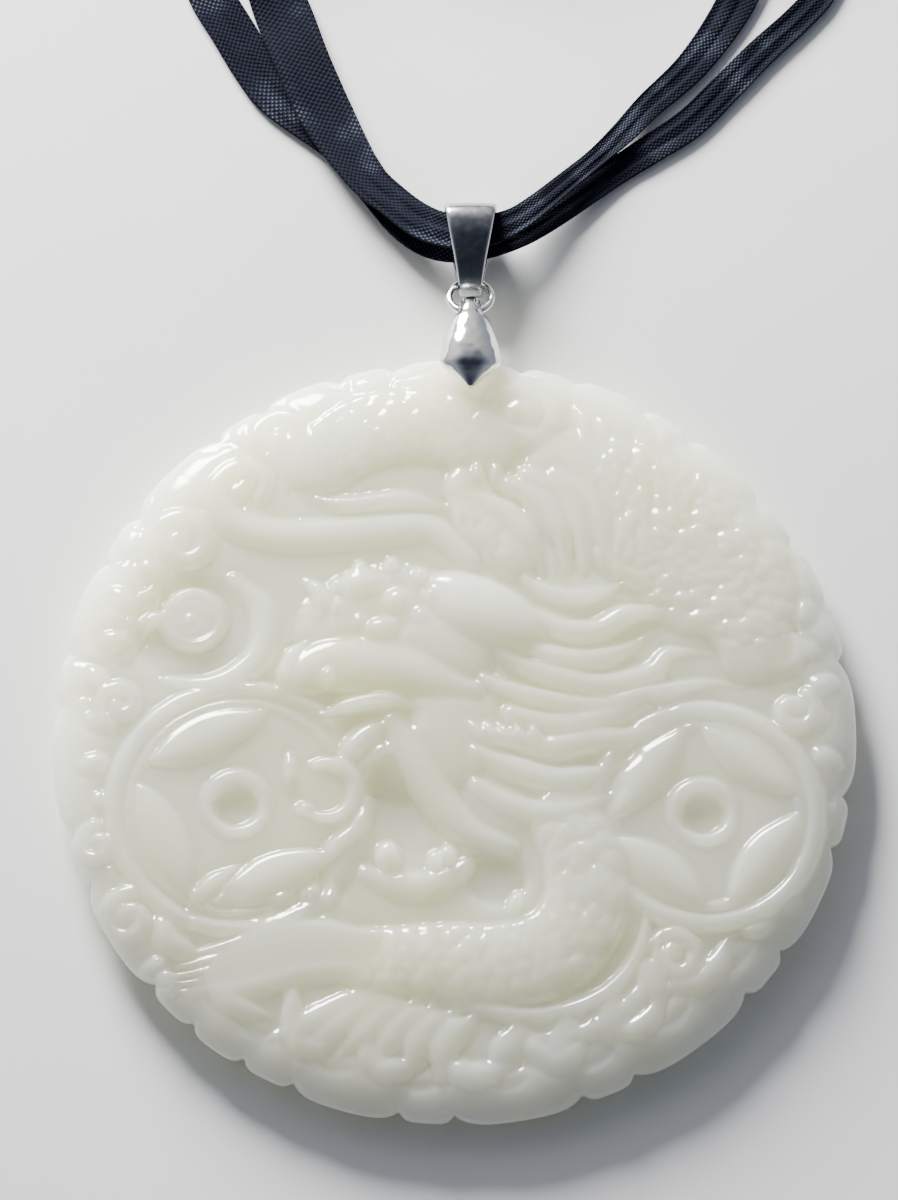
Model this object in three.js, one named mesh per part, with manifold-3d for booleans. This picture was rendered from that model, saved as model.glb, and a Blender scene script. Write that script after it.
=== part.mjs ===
// A carved jade disc pendant that lies on its flat back, with its metal fittings and its two ribbons.
// Millimetres, +Z up. The origin is the centre of the flat back, the carved face looks to +Z and the
// pendant hangs from its +Y side.
import * as THREE from 'three';
import { mergeVertices } from 'three/addons/utils/BufferGeometryUtils.js';
import Module from 'manifold-3d';

const wasm = await Module();
wasm.setup();

// Disc
const NOTCH_RADIUS = 29.25;
const LOBE_RISE = 0.8;
const FULL_RADIUS = NOTCH_RADIUS + LOBE_RISE;
const NOTCH_START = 0.4;
const LOBE_POWER = 5;
const SMALL_LOBE_SHARE = 0.85;
const SMALL_LOBES_DEG = [16, 35, 57, 76, 103, 123, 148, 171, 199, 225, 242, 266, 293, 321.5, 347];
const SMALL_LOBE_HALF_DEG = 4;
const EDGE_Z = 2.1;
const RIM_WIDTH = 3.6;
const BACK_BEVEL = 5;
const FIELD_Z = 4.3;
const FIELD_FALL = 0.9;
const CARVING_DROP = 1.05;
const RELIEF_SHARE = 0.85;
const GRID = 128;
const FACE_ERROR = 0.205;
const OUTLINE_WEIGHT = 2.5;

// Relief strokes
const MOAT = 0.1;
const MOAT_WIDTH = 0.7;
const SPAN_STEPS = 6;
const RING_STEPS = 40;
const CURL_STEPS = 30;
const CURL_WIND = 0.78;
const CURL_BAND = 0.33;
const CURL_TOP = 0.95;

// Fittings on the hanging line
const HANG_X = 1.25;
const HOLE_Y = 27.6;
const HOLE_RADIUS = 0.75;
const PRONG_RADIUS = 0.33;
const SHEET = 0.4;
const RING_Y = 35;
const RING_Z = 2.5;
const RING_RADIUS = 1.6;
const RING_WIRE = 0.3;
const RING_TILT_DEG = -25;
const SEAT_Z = 4.1;
const SEAT_RADIUS = 2.4;

// Ribbons and their coil
const RIBBON_HALF_THICK = 0.25;
const FLOOR_GAP = 0.12;
const COIL_CENTRE = [3, 88];
const COIL_INNER = 9.6;
const COIL_OUTER = 19.6;
const COIL_BOTTOM = 0.55;
const COIL_TOP = 3.95;
const GAP = 0.3;
const TIE_SHEET = 0.22;
const TIE_LENGTH = 2.5;
const TIE_DEG = 180;

// Fittings on the ribbons' ends, inside the coil: place about the coil's centre and heading
const CRIMP = { length: 4, thick: 1.4, height: 3.2, z: 1.75 };
const CRIMP_LEFT = { deg: 118, radius: 7.4, heading: 218 };
const CRIMP_RIGHT = { deg: 308, radius: 7.4, heading: 48 };
const EYE_RADIUS = 0.8;
const EYE_WIRE = 0.26;
const CLASP = { heading: 290, link: 0.9, length: 7, half: 1.8, thick: 1.5 };
const CLASP_RING = { heading: 70, radius: 1.25, wire: 0.3 };

const jade = new THREE.MeshStandardMaterial({ color: 0xd2d4c4, roughness: 0.22, metalness: 0 });
const metal = new THREE.MeshStandardMaterial({ color: 0xc4c8cc, roughness: 0.18, metalness: 1 });
const gauze = new THREE.MeshStandardMaterial({ color: 0x1e2029, roughness: 0.7, metalness: 0 });

const clamp01 = (t) => Math.min(1, Math.max(0, t));
const smooth = (t) => clamp01(t) ** 2 * (3 - 2 * clamp01(t));
const rad = (degrees) => (degrees * Math.PI) / 180;
const polar = (cx, cy, r, degrees) => [cx + r * Math.cos(rad(degrees)), cy + r * Math.sin(rad(degrees))];

// Outline: large lobes of the cloud rim with a small one between each two
const lobeEdges = SMALL_LOBES_DEG
  .flatMap((a) => [a - SMALL_LOBE_HALF_DEG, a + SMALL_LOBE_HALF_DEG])
  .sort((a, b) => a - b);
const lobes = lobeEdges.map((start, i) => [start, lobeEdges[i + 1] ?? lobeEdges[0] + 360]);

function outlineRadius(degrees) {
  const a = (((degrees - lobeEdges[0]) % 360) + 360) % 360 + lobeEdges[0];
  const [start, end] = lobes.find((lobe) => a >= lobe[0] && a <= lobe[1]);
  const across = (2 * a - start - end) / (end - start);
  const share = end - start < 2 * SMALL_LOBE_HALF_DEG + 1 ? SMALL_LOBE_SHARE : 1;
  return NOTCH_RADIUS + LOBE_RISE * share * (1 - Math.abs(across) ** LOBE_POWER);
}

// A smooth curve through a few points, as a polyline
function strokeLine(points, steps = SPAN_STEPS) {
  const knots = points.map(([x, y]) => new THREE.Vector3(x, y, 0));
  const curve = new THREE.CatmullRomCurve3(knots, false, 'catmullrom');
  return curve.getPoints(steps * (points.length - 1)).map((p) => [p.x, p.y]);
}

// The carved face: a height for each of a set of points, raised and cut stroke by stroke
class Relief {
  constructor(points) {
    this.points = points;
    this.ground = points.map(([x, y]) => FIELD_Z - (FIELD_FALL * (x * x + y * y)) / NOTCH_RADIUS ** 2);
    this.height = [...this.ground];
    this.drop = 0;
  }

  // Visits every point with its place on the carving
  each(visit) {
    this.points.forEach(([x, y], i) => visit(i, x, y + this.drop));
  }

  // Raises a rounded form where d < w and cuts a moat round it
  place(i, d, w, top, crown, moat) {
    if (d > w) {
      this.height[i] -= moat * (1 - smooth((d - w) / MOAT_WIDTH));
      return;
    }
    const form = this.ground[i] + top * clamp01(1 - (d / Math.max(w, 1e-6)) ** 2) ** crown;
    this.height[i] = Math.max(this.height[i] - moat, form);
  }

  // Calls use(point, distance from the line, share of its length) for the points within reach
  along(line, reach, use) {
    const run = [0];
    line.slice(1).forEach((p, k) => run.push(run[k] + Math.hypot(p[0] - line[k][0], p[1] - line[k][1])));
    const xs = line.map((p) => p[0]);
    const ys = line.map((p) => p[1]);
    const west = Math.min(...xs) - reach;
    const east = Math.max(...xs) + reach;
    const south = Math.min(...ys) - reach;
    const north = Math.max(...ys) + reach;
    this.each((i, x, y) => {
      if (x < west || x > east || y < south || y > north) return;
      let best = Infinity;
      let at = 0;
      for (let k = 0; k + 1 < line.length; k++) {
        const dx = line[k + 1][0] - line[k][0];
        const dy = line[k + 1][1] - line[k][1];
        const t = clamp01(((x - line[k][0]) * dx + (y - line[k][1]) * dy) / (dx * dx + dy * dy + 1e-12));
        const d = Math.hypot(x - line[k][0] - t * dx, y - line[k][1] - t * dy);
        if (d < best) {
          best = d;
          at = run[k] + t * (run[k + 1] - run[k]);
        }
      }
      use(i, best, at / run.at(-1));
    });
  }

  // A rounded band along a line; ends are the shares of its width that are left at its two ends
  bandOn(line, half, top, { ends = [0.25, 0.1], crown = 0.55, moat = MOAT } = {}) {
    this.along(line, half + MOAT_WIDTH, (i, d, t) => {
      const first = ends[0] + (1 - ends[0]) * smooth(t / 0.3);
      const last = ends[1] + (1 - ends[1]) * smooth((1 - t) / 0.45);
      const share = Math.max(first * last, 0.05);
      this.place(i, d, half * first * last, top * Math.sqrt(share), crown, moat);
    });
  }

  band(points, half, top, options) {
    this.bandOn(strokeLine(points), half, top, options);
  }

  groove(points, half, depth) {
    this.along(strokeLine(points), half, (i, d) => {
      this.height[i] -= depth * clamp01(1 - (d / half) ** 2);
    });
  }

  // Calls use(point, u, v) with coordinates about a turned centre
  about(cx, cy, turn, use) {
    const c = Math.cos(rad(turn));
    const s = Math.sin(rad(turn));
    this.each((i, x, y) => use(i, (x - cx) * c + (y - cy) * s, (y - cy) * c - (x - cx) * s));
  }

  mound(cx, cy, rx, ry, turn, top, { crown = 0.5, moat = MOAT } = {}) {
    const r = Math.min(rx, ry);
    this.about(cx, cy, turn, (i, u, v) => {
      const d = r * Math.hypot(u / rx, v / ry);
      if (d < r + MOAT_WIDTH) this.place(i, d, r, top, crown, moat);
    });
  }

  hollow(cx, cy, rx, ry, turn, depth, power = 1) {
    this.about(cx, cy, turn, (i, u, v) => {
      this.height[i] -= depth * clamp01(1 - (u / rx) ** 2 - (v / ry) ** 2) ** power;
    });
  }

  ring(cx, cy, r, half, top, { arc = [0, 360], moat = MOAT } = {}) {
    const sweep = arc[1] - arc[0];
    const line = Array.from({ length: RING_STEPS + 1 }, (_, k) => {
      return polar(cx, cy, r, arc[0] + (sweep * k) / RING_STEPS);
    });
    const ends = Math.abs(sweep) >= 360 ? [1, 1] : [0.6, 0.6];
    this.bandOn(line, half, top, { ends, moat });
  }

  // A scroll: a band that winds in to its eye
  curl(cx, cy, r, start, turns, sense) {
    const line = Array.from({ length: CURL_STEPS + 1 }, (_, k) => {
      const t = k / CURL_STEPS;
      return polar(cx, cy, r * (1 - CURL_WIND * t), start + sense * t * turns * 360);
    });
    this.bandOn(line, r * CURL_BAND, CURL_TOP, { ends: [0.75, 0.9] });
  }

  // A pointed leaf
  lens(cx, cy, length, width, turn, top) {
    this.about(cx, cy, turn, (i, u, v) => {
      const t = (2 * Math.abs(u)) / length;
      if (t > 1.3) return;
      const d = Math.abs(v) + (Math.max(t - 1, 0) * length) / 2;
      const w = (width / 2) * Math.max(1 - t * t, 1e-3);
      if (d < w + MOAT_WIDTH) this.place(i, d, w, top, 0.45, MOAT);
    });
  }
}

function carveRim(relief) {
  for (const [start, end] of lobes) {
    const middle = (start + end) / 2;
    const half = (end - start) / 2;
    const crisp = clamp01((Math.sin(rad(middle)) + 0.5) / 0.9);
    if (half < SMALL_LOBE_HALF_DEG + 0.5) {
      const [x, y] = polar(0, 0, 28.2, middle);
      relief.mound(x, y, 1.6, 1.3, middle, 0.6 * crisp, { moat: 0.2 * crisp });
    } else {
      const arc = [-0.9, -0.45, 0, 0.45, 0.9].map((q) => polar(0, 0, 27.5, middle + half * q));
      relief.band(arc, 2.2, 0.65 * crisp, { ends: [0.5, 0.5], crown: 0.5, moat: 0.2 * crisp });
    }
  }
  for (const [a, b] of [[127, 144], [152, 167], [38, 53], [18, 31], [61, 73]]) {
    relief.band([a, (a + b) / 2, b].map((q) => polar(0, 0, 25.2, q)), 1, 0.65, { ends: [0.4, 0.4] });
  }
}

// A coin: a broad ring, petals between it and the round hollow, which has a raised lip
function carveCoin(relief, cx, cy, radius, firstPetal, arc) {
  const top = 0.95;
  relief.mound(cx, cy, radius, radius, 0, 0.45, { crown: 0.12, moat: 0.15 });
  relief.hollow(cx, cy, radius - 1.4, radius - 1.4, 0, 0.35, 0.12);
  relief.ring(cx, cy, radius - 0.9, 1, top, { arc });
  for (let k = 0; k < 4; k++) {
    const a = (firstPetal + 90 * k) % 360;
    if (a < arc[0] || a > arc[1]) continue;
    relief.lens(...polar(cx, cy, radius * 0.6, a), radius * 0.98, radius * 0.36, a + 90, top);
  }
  relief.ring(cx - 0.2, cy + 0.3, 2.2, 0.5, top * 0.85);
  relief.hollow(cx - 0.2, cy + 0.1, 1.9, 1.6, 0, 1.1, 0.5);
}

function carveClouds(relief) {
  const scrolls = [
    [-24.9, 3.3, 1.75, 220, 1.15, -1],
    [-20.3, 15.9, 2.6, 195, 1.2, -1],
    [-12.9, 24.7, 2.2, 205, 0.95, -1],
    [24.4, 7.2, 1.9, 170, 1.2, -1],
    [25.4, 2.8, 1.7, 60, 1.2, -1],
    [16.4, -16.4, 2, 150, 1.2, -1],
    [-24.2, -13.4, 2.1, 80, 1.2, 1],
    [-26.6, -7.6, 1.6, 90, 1.1, 1],
    [-21.6, -18.2, 1.6, 100, 1, 1],
  ];
  scrolls.forEach((scroll) => relief.curl(...scroll));
  relief.mound(5.7, 26.2, 4.2, 3, -6, 0.75, { crown: 0.3 });
  relief.curl(5.6, 25.9, 2.9, 160, 1.3, -1);
  relief.band([[6.5, 28.9], [11.2, 27.9], [14.4, 25]], 1.3, 0.85, { ends: [0.3, 0.6] });
  relief.band([[2, 27.4], [2.8, 25.6], [5.4, 24.6], [8.2, 24.9]], 0.55, 1);
  relief.band([[9.1, 27], [10, 25.2], [9.2, 22.8], [8.3, 21.2]], 0.6, 1.1);
}

function carvePearl(relief) {
  const frame = [[-16.5, 13.2], [-14.2, 10.6], [-14.6, 7], [-17.6, 5], [-21.5, 5.2]];
  relief.band(frame, 1.05, 0.85, { ends: [0.4, 0.4] });
  relief.hollow(-19.6, 9.2, 4.7, 4.1, 0, 0.95, 0.35);
  relief.mound(-19.5, 10, 2.5, 2.3, 0, 0.35, { crown: 0.4, moat: 0.1 });
  relief.ring(-19.5, 10, 2.1, 0.36, 0.62, { moat: 0.2 });
  relief.band([[-21.4, 10.4], [-22.8, 9.9], [-23.4, 8.5]], 0.5, 0.6);
}

// The dragon's body shows in four lengths, with its back fin along the lowest
function carveBody(relief) {
  const whole = { ends: [0.9, 0.9], crown: 0.4 };
  relief.band([[-10.2, 22.6], [-6.5, 24.9], [-2, 25.4], [2, 24]], 3.1, 0.95, whole);
  const shoulder = [[10, 20.2], [14.4, 18], [18.6, 14.8], [21.6, 11], [22.6, 7.6]];
  relief.band(shoulder, 5.2, 1.05, { ends: [0.9, 0.5], crown: 0.4 });
  relief.band([[1, 20.4], [2.2, 17.4], [4.6, 14.6]], 1.9, 1.1, whole);
  const lower = [[-6.5, -16.6], [-2, -16.9], [3, -17.2], [7.4, -16], [9.8, -12.8], [9.7, -9.3], [8.4, -6]];
  relief.band(lower, 3.3, 1.3, { ends: [0.75, 0.85], crown: 0.4 });
  const fin = [
    [-3, -19.5], [2, -20.6], [6.5, -20.9], [10.8, -19.5], [13.4, -16.6], [14.2, -13.2], [12.9, -9.2],
  ];
  relief.band(fin, 0.55, 0.95);
  relief.band([[15.2, -14.6], [14.6, -18], [11.6, -21.3], [7.6, -22.5], [3.5, -22.6]], 0.75, 0.8);
  for (let q = 0; q < 5; q++) {
    const a = -105 + 17 * q;
    const spine = [polar(4.2, -9.6, 12.8, a), polar(4.2, -9.6, 15.2, a - 7)];
    relief.band(spine, 1.1, 0.6, { ends: [0.8, 0.3], moat: 0.15 });
  }
}

function carveTail(relief) {
  for (let q = 0; q < 5; q++) {
    const f = q / 4;
    const lock = [
      [-5.8, -15 - 2.4 * f],
      [-11, -14.4 - 3.2 * f],
      [-15.5, -15.4 - 3.4 * f],
      [-20.5, -16.4 - 2.6 * f],
    ];
    relief.band(lock, 0.85, 0.95 - 0.1 * f, { ends: [0.6, 0.2], moat: 0.25 });
  }
  for (let q = 0; q < 6; q++) {
    const f = q / 5;
    const flame = [
      [-5.6 + 7 * f, -19.2 - 2 * f],
      [-9.6 + 9 * f, -21 - 2 * f],
      [-13.6 + 12.6 * f, -22.6 - 3.4 * f],
    ];
    relief.band(flame, 1.15, 0.85, { ends: [0.4, 0.2], moat: 0.25 });
  }
}

// The horns sweep back into a big scroll, and four locks of hair hang over the neck
function carveHorns(relief) {
  const horn = [
    [1.2, 14.4], [-1.6, 17], [-5, 16.9], [-9, 16.6], [-13, 16.5],
    [-16.6, 17.6], [-18, 20], [-16.4, 22], [-14.2, 21.3], [-14.4, 19.6],
  ];
  relief.band(horn, 1.3, 1.1, { ends: [0.6, 0.45] });
  relief.band([[-0.6, 18.7], [-4, 19.4], [-8, 19], [-12.2, 19.9]], 0.7, 0.95);
  const neckLocks = [
    [[1.6, 19.6], [4, 18.2], [5.6, 16.2], [6.6, 13.6]],
    [[3.6, 20.8], [6.4, 19.6], [8, 17], [8.4, 13.8]],
    [[5.4, 21.4], [8.2, 20.2], [9.6, 17.2], [9.7, 13.8]],
    [[7.6, 21.4], [10.2, 19.4], [11.2, 16.6], [11.1, 14]],
  ];
  neckLocks.forEach((lock) => relief.band(lock, 0.95, 0.95, { ends: [0.7, 0.3] }));
}

function carveMane(relief) {
  const locks = [
    [0.6, [5.4, 12.9], [8.2, 11.6], [10.8, 11.9], [13.2, 13]],
    [0.9, [5.6, 10.4], [8.4, 9], [10.8, 9], [13.2, 10.3], [17.4, 10.4]],
    [0.9, [4.6, 8.4], [7.4, 6.9], [10.2, 6.6], [13, 7.5], [14.9, 8.8]],
    [0.95, [3.6, 6.9], [7, 5.4], [11, 4.6], [14.6, 5.6], [16.2, 7.3], [19.6, 7.1]],
    [0.8, [2.2, 5], [6.4, 3.6], [10.6, 2.9], [14.6, 3.9], [18.6, 4.9], [21.8, 4.6]],
    [1.1, [4.2, 2.4], [8, 1.3], [11.4, 2], [14, 3.1], [16, 2.8]],
    [0.95, [3.6, 0.6], [7, -0.3], [10.2, 0.3], [13.4, 0.6], [17.2, 1.9]],
    [1, [1.6, -0.6], [4.4, -1.9], [7.8, -2.8], [11.2, -2.1], [13.6, -0.9]],
    [0.9, [1.6, -3.2], [4.4, -4.8], [7.6, -5.4], [10.9, -4.4], [12.6, -3.4]],
  ];
  locks.forEach(([half, ...line]) => relief.band(line, half, 1.5, { ends: [0.6, 0.08] }));
}

function carveHead(relief) {
  relief.mound(-4.2, 8.6, 7.6, 5.6, -6, 1.15, { crown: 0.45 });
  relief.mound(-3, 1, 6.4, 5.2, 0, 0.9, { moat: 0.1 });
  carveMane(relief);
  // Ear, brow, eye and cheek
  relief.mound(2.3, 10.4, 5, 2.5, -27, 2.2);
  relief.mound(-7, 12.5, 1.5, 1.35, 0, 1.95);
  relief.mound(-5.4, 9, 1.6, 0.9, 15, 1.9);
  relief.mound(-4.2, 11.2, 1.2, 1, 15, 1.8);
  relief.band([[-11.4, 12.9], [-10.1, 12], [-9.8, 10.4], [-10, 9.2]], 0.5, 1.6);
  // Snout and nose
  const snout = [[-11.3, 5.7], [-8.6, 6.3], [-5, 5.9], [-1.5, 5], [1.6, 4.2]];
  relief.band(snout, 2, 1.95, { ends: [0.85, 0.3] });
  relief.groove([[-7.2, 4.7], [-4.4, 4.6], [-1.8, 3.7]], 0.6, 0.5);
  relief.band([[-12.9, 4], [-12.7, 5.6], [-12, 7.2], [-10.6, 8.2]], 0.5, 1.8);
  // Open mouth with its tongue, lips, jaw and teeth
  relief.hollow(-5.6, 1.4, 3.6, 1.6, 20, 0.7, 0.6);
  relief.hollow(-3.6, -5.4, 2.9, 4.6, 14, 1.2, 0.6);
  relief.band([[-8.4, -1.4], [-6.6, 0.5], [-4.6, 1.6]], 0.95, 1.3, { ends: [0.6, 0.6] });
  const lip = [[-4.6, 1.7], [-3.2, -0.8], [-1.4, -4], [0.8, -6.6], [4.4, -8]];
  relief.band(lip, 1.15, 1.5, { ends: [0.7, 0.4] });
  relief.band([[-10, 2.2], [-7.6, 3], [-5, 3.4], [-3.5, 2.8], [-2.9, 1.6]], 0.6, 1.8);
  relief.band([[0.8, -9.6], [-1.6, -10.9], [-4.4, -11], [-6.6, -10]], 1.2, 0.85, { ends: [0.6, 0.5] });
  relief.mound(-4.9, -8.7, 0.95, 1.2, 0, 1.5);
  relief.mound(-1, -8.8, 1, 0.9, 0, 1.5);
  relief.hollow(3.1, -10.5, 2.4, 2, 0, 1, 0.2);
  // Whisker that curls before the mouth
  relief.ring(-9.5, -3.6, 2.15, 0.55, 1.3, { arc: [120, -130] });
  relief.band([[-6.4, -4.2], [-7.2, -6.6], [-9, -8.2], [-10.4, -10.4]], 0.7, 1.25);
}

// Heights of the finished face: the carving, a seat for the cap and the rounded rim
function faceHeights(points, insets) {
  const relief = new Relief(points);
  carveRim(relief);
  relief.drop = CARVING_DROP;
  carveCoin(relief, -16, -4.9, 10, 114, [35, 318]);
  carveCoin(relief, 18.7, -5.5, 8.9, 53, [0, 360]);
  carveClouds(relief);
  carvePearl(relief);
  carveBody(relief);
  carveTail(relief);
  carveHorns(relief);
  carveHead(relief);
  return points.map(([x, y], i) => {
    const seat = SEAT_Z + Math.max(0, Math.hypot(x - HANG_X, Math.min(y - HOLE_Y, 0)) - SEAT_RADIUS);
    const carved = relief.ground[i] + RELIEF_SHARE * (relief.height[i] - relief.ground[i]);
    const top = Math.min(carved, seat);
    const rim = clamp01(1 - insets[i] / RIM_WIDTH);
    return EDGE_Z + (top - EDGE_Z) * Math.sqrt(1 - rim * rim);
  });
}

// Places a point of the square from -1 to 1 on the disc, with rings that crowd at the rounded rim
function squareToDisc(a, b) {
  if (a === 0 && b === 0) return { x: 0, y: 0, inset: FULL_RADIUS };
  const flat = Math.abs(a) > Math.abs(b);
  const signed = flat ? a : b;
  const angle = flat ? (45 * b) / a : 90 - (45 * a) / b;
  const degrees = angle + (signed < 0 ? 180 : 0);
  const share = Math.abs(signed);
  const quarter = (RIM_WIDTH * Math.PI) / 2;
  const rimShare = quarter / (FULL_RADIUS - RIM_WIDTH + quarter);
  const turn = Math.max(0, share - 1 + rimShare) / rimShare;
  const inner = (Math.min(share, 1 - rimShare) / (1 - rimShare)) * (FULL_RADIUS - RIM_WIDTH);
  const inset = FULL_RADIUS - inner - RIM_WIDTH * Math.sin((turn * Math.PI) / 2);
  const bite = (FULL_RADIUS - outlineRadius(degrees)) * smooth((turn - NOTCH_START) / (1 - NOTCH_START));
  const [x, y] = polar(0, 0, FULL_RADIUS - inset - bite, degrees);
  return { x, y, inset };
}

// Right triangles that halve until they follow the face closely enough
function refineGrid(positions, onBorder) {
  const row = GRID + 1;
  const errors = new Float64Array(row * row);
  const levels = [];
  const visit = (a, b, c, level) => {
    const m = [(a[0] + b[0]) / 2, (a[1] + b[1]) / 2];
    if (!Number.isInteger(m[0]) || !Number.isInteger(m[1])) return;
    (levels[level] ??= []).push([a, b, c, m]);
    visit(c, a, m, level + 1);
    visit(b, c, m, level + 1);
  };
  const corners = [[[0, 0], [GRID, GRID], [GRID, 0]], [[GRID, GRID], [0, 0], [0, GRID]]];
  corners.forEach(([a, b, c]) => visit(a, b, c, 0));
  const index = (p) => p[1] * row + p[0];
  const between = (p, q) => [(p[0] + q[0]) / 2, (p[1] + q[1]) / 2];
  for (const [a, b, c, m] of levels.reverse().flat()) {
    const middle = positions[index(m)];
    const chord = positions[index(a)].clone().lerp(positions[index(b)], 0.5);
    const miss = chord.sub(middle);
    const error = onBorder(m) ? OUTLINE_WEIGHT * miss.length() : Math.abs(miss.z);
    const children = [between(a, c), between(b, c)].filter((p) => p.every(Number.isInteger));
    const worst = Math.max(error, ...children.map((p) => errors[index(p)]));
    errors[index(m)] = Math.max(errors[index(m)], worst);
  }
  const triangles = [];
  const emit = (a, b, c) => {
    const m = between(a, b);
    if (m.every(Number.isInteger) && errors[index(m)] > FACE_ERROR) {
      emit(c, a, m);
      emit(b, c, m);
    } else {
      triangles.push([index(a), index(c), index(b)]);
    }
  };
  corners.forEach(([a, b, c]) => emit(a, b, c));
  return triangles;
}

// Evens out each height inside the border with its four neighbours, as polishing does
function polished(heights) {
  const row = GRID + 1;
  return heights.map((h, k) => {
    const i = k % row;
    const inside = i > 0 && i < GRID && k >= row && k < row * GRID;
    if (!inside) return h;
    return h / 2 + (heights[k - 1] + heights[k + 1] + heights[k - row] + heights[k + row]) / 8;
  });
}

function closedGeometry(vertices, triangles) {
  const geometry = new THREE.BufferGeometry();
  geometry.setAttribute('position', new THREE.Float32BufferAttribute(vertices.flat(), 3));
  geometry.setIndex(triangles.flat());
  geometry.computeVertexNormals();
  return geometry;
}

function discGeometry() {
  const row = GRID + 1;
  const spots = Array.from({ length: row * row }, (_, k) => {
    const a = ((k % row) / GRID) * 2 - 1;
    const b = (Math.floor(k / row) / GRID) * 2 - 1;
    return squareToDisc(a, b);
  });
  const sharp = faceHeights(spots.map((s) => [s.x, s.y]), spots.map((s) => s.inset));
  const heights = polished(polished(sharp));
  const positions = spots.map((s, k) => new THREE.Vector3(s.x, s.y, heights[k]));
  const onBorder = ([i, j]) => i === 0 || j === 0 || i === GRID || j === GRID;
  const face = refineGrid(positions, onBorder);
  const used = [...new Set(face.flat())];
  const place = new Map(used.map((k, n) => [k, n]));
  const vertices = used.map((k) => positions[k].toArray());
  const triangles = face.map((t) => t.map((k) => place.get(k)));
  const rim = used.filter((k) => onBorder([k % row, Math.floor(k / row)]));
  rim.sort((p, q) => Math.atan2(spots[p].y, spots[p].x) - Math.atan2(spots[q].y, spots[q].x));
  const flatStart = vertices.length;
  rim.forEach((k) => {
    const { x, y } = spots[k];
    const shrink = 1 - BACK_BEVEL / Math.hypot(x, y);
    vertices.push([x * shrink, y * shrink, 0]);
  });
  const centre = vertices.length;
  vertices.push([0, 0, 0]);
  rim.forEach((k, n) => {
    const next = (n + 1) % rim.length;
    const top = place.get(k);
    const topNext = place.get(rim[next]);
    triangles.push([top, flatStart + n, topNext]);
    triangles.push([topNext, flatStart + n, flatStart + next]);
    triangles.push([flatStart + n, centre, flatStart + next]);
  });
  return closedGeometry(vertices, triangles);
}

// Solids for joins and cuts
function toSolid(geometry) {
  const bare = geometry.clone();
  bare.deleteAttribute('normal');
  bare.deleteAttribute('uv');
  const merged = mergeVertices(bare, 1e-5);
  return new wasm.Manifold(new wasm.Mesh({
    numProp: 3,
    vertProperties: new Float32Array(merged.attributes.position.array),
    triVerts: new Uint32Array(merged.index.array),
  }));
}

function fromSolid(solid) {
  const mesh = solid.getMesh();
  const geometry = new THREE.BufferGeometry();
  geometry.setAttribute('position', new THREE.Float32BufferAttribute(mesh.vertProperties, 3));
  geometry.setIndex(Array.from(mesh.triVerts));
  geometry.computeVertexNormals();
  return geometry;
}

function uprightRod(x, y, low, high, radius, sides = 12) {
  const rod = new THREE.CylinderGeometry(radius, radius, high - low, sides);
  rod.rotateX(Math.PI / 2);
  rod.translate(x, y, (low + high) / 2);
  return rod;
}

// Skins a row of sections, each a loop of points, as one closed body
function skin(sections, closed) {
  const n = sections[0].length;
  const vertices = sections.flat();
  const triangles = [];
  const last = closed ? sections.length : sections.length - 1;
  for (let s = 0; s < last; s++) {
    const a = s * n;
    const b = ((s + 1) % sections.length) * n;
    for (let k = 0; k < n; k++) {
      const next = (k + 1) % n;
      triangles.push([a + k, b + k, a + next]);
      triangles.push([a + next, b + k, b + next]);
    }
  }
  if (!closed) {
    const end = (sections.length - 1) * n;
    for (let k = 1; k + 1 < n; k++) {
      triangles.push([0, k, k + 1]);
      triangles.push([end, end + k + 1, end + k]);
    }
  }
  return closedGeometry(vertices, triangles);
}

// Bent sheet about the hanging line: stations of [y, z, half width], seen from the side,
// with a ridge outside
function bentSheet(stations, steps, closed, ridge) {
  const points = stations.map(([y, z, half]) => new THREE.Vector3(half, y, z));
  const curve = new THREE.CatmullRomCurve3(points, closed, 'centripetal');
  const count = closed ? steps : steps + 1;
  const sections = Array.from({ length: count }, (_, k) => {
    const p = curve.getPoint(k / steps);
    const along = curve.getTangent(k / steps).setX(0).normalize();
    const outward = [-along.z, along.y];
    const corner = (x, lift) => [HANG_X + x, p.y + outward[0] * lift, p.z + outward[1] * lift];
    return [
      corner(-p.x, -SHEET / 2),
      corner(p.x, -SHEET / 2),
      corner(p.x, SHEET / 2),
      corner(0, SHEET / 2 + ridge * p.x),
      corner(-p.x, SHEET / 2),
    ];
  });
  return skin(sections, closed);
}

function capGeometry() {
  const stations = [
    [27, 0.42, 0.2], [28.3, 0.42, 1.3], [29.1, 0.42, 1.95], [30.6, 0.6, 1.75], [32, 1.2, 1.35],
    [33.2, 2.1, 1], [33.75, 2.42, 0.85], [34.35, 3.18, 0.8], [33.75, 3.94, 0.85],
    [32.9, 4.15, 1.05], [32, 4.3, 1.35], [30.6, 4.5, 1.75], [29.1, 4.6, 2.05], [28.45, 4.62, 1.85],
    [28.05, 4.62, 1.1], [27.6, 4.6, 0.55], [27, 4.58, 0.2],
  ];
  const sheet = toSolid(bentSheet(stations, 48, false, 0.14));
  const front = toSolid(uprightRod(HANG_X, HOLE_Y, 3, 4.6, PRONG_RADIUS));
  const rear = toSolid(uprightRod(HANG_X, HOLE_Y, 0.42, 2.4, PRONG_RADIUS));
  return fromSolid(sheet.add(front).add(rear));
}

function bailGeometry() {
  const stations = [
    [35.5, 1.85, 0.88], [36.1, 1.04, 0.95], [38, 0.72, 1.25], [40.2, 0.5, 1.65], [41.6, 1.2, 1.9],
    [42.2, 2.7, 2], [41.5, 4, 1.9], [40, 4.15, 1.65], [38, 3.6, 1.25], [36.3, 2.82, 0.95],
  ];
  return bentSheet(stations, 40, true, 0.06);
}

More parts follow.
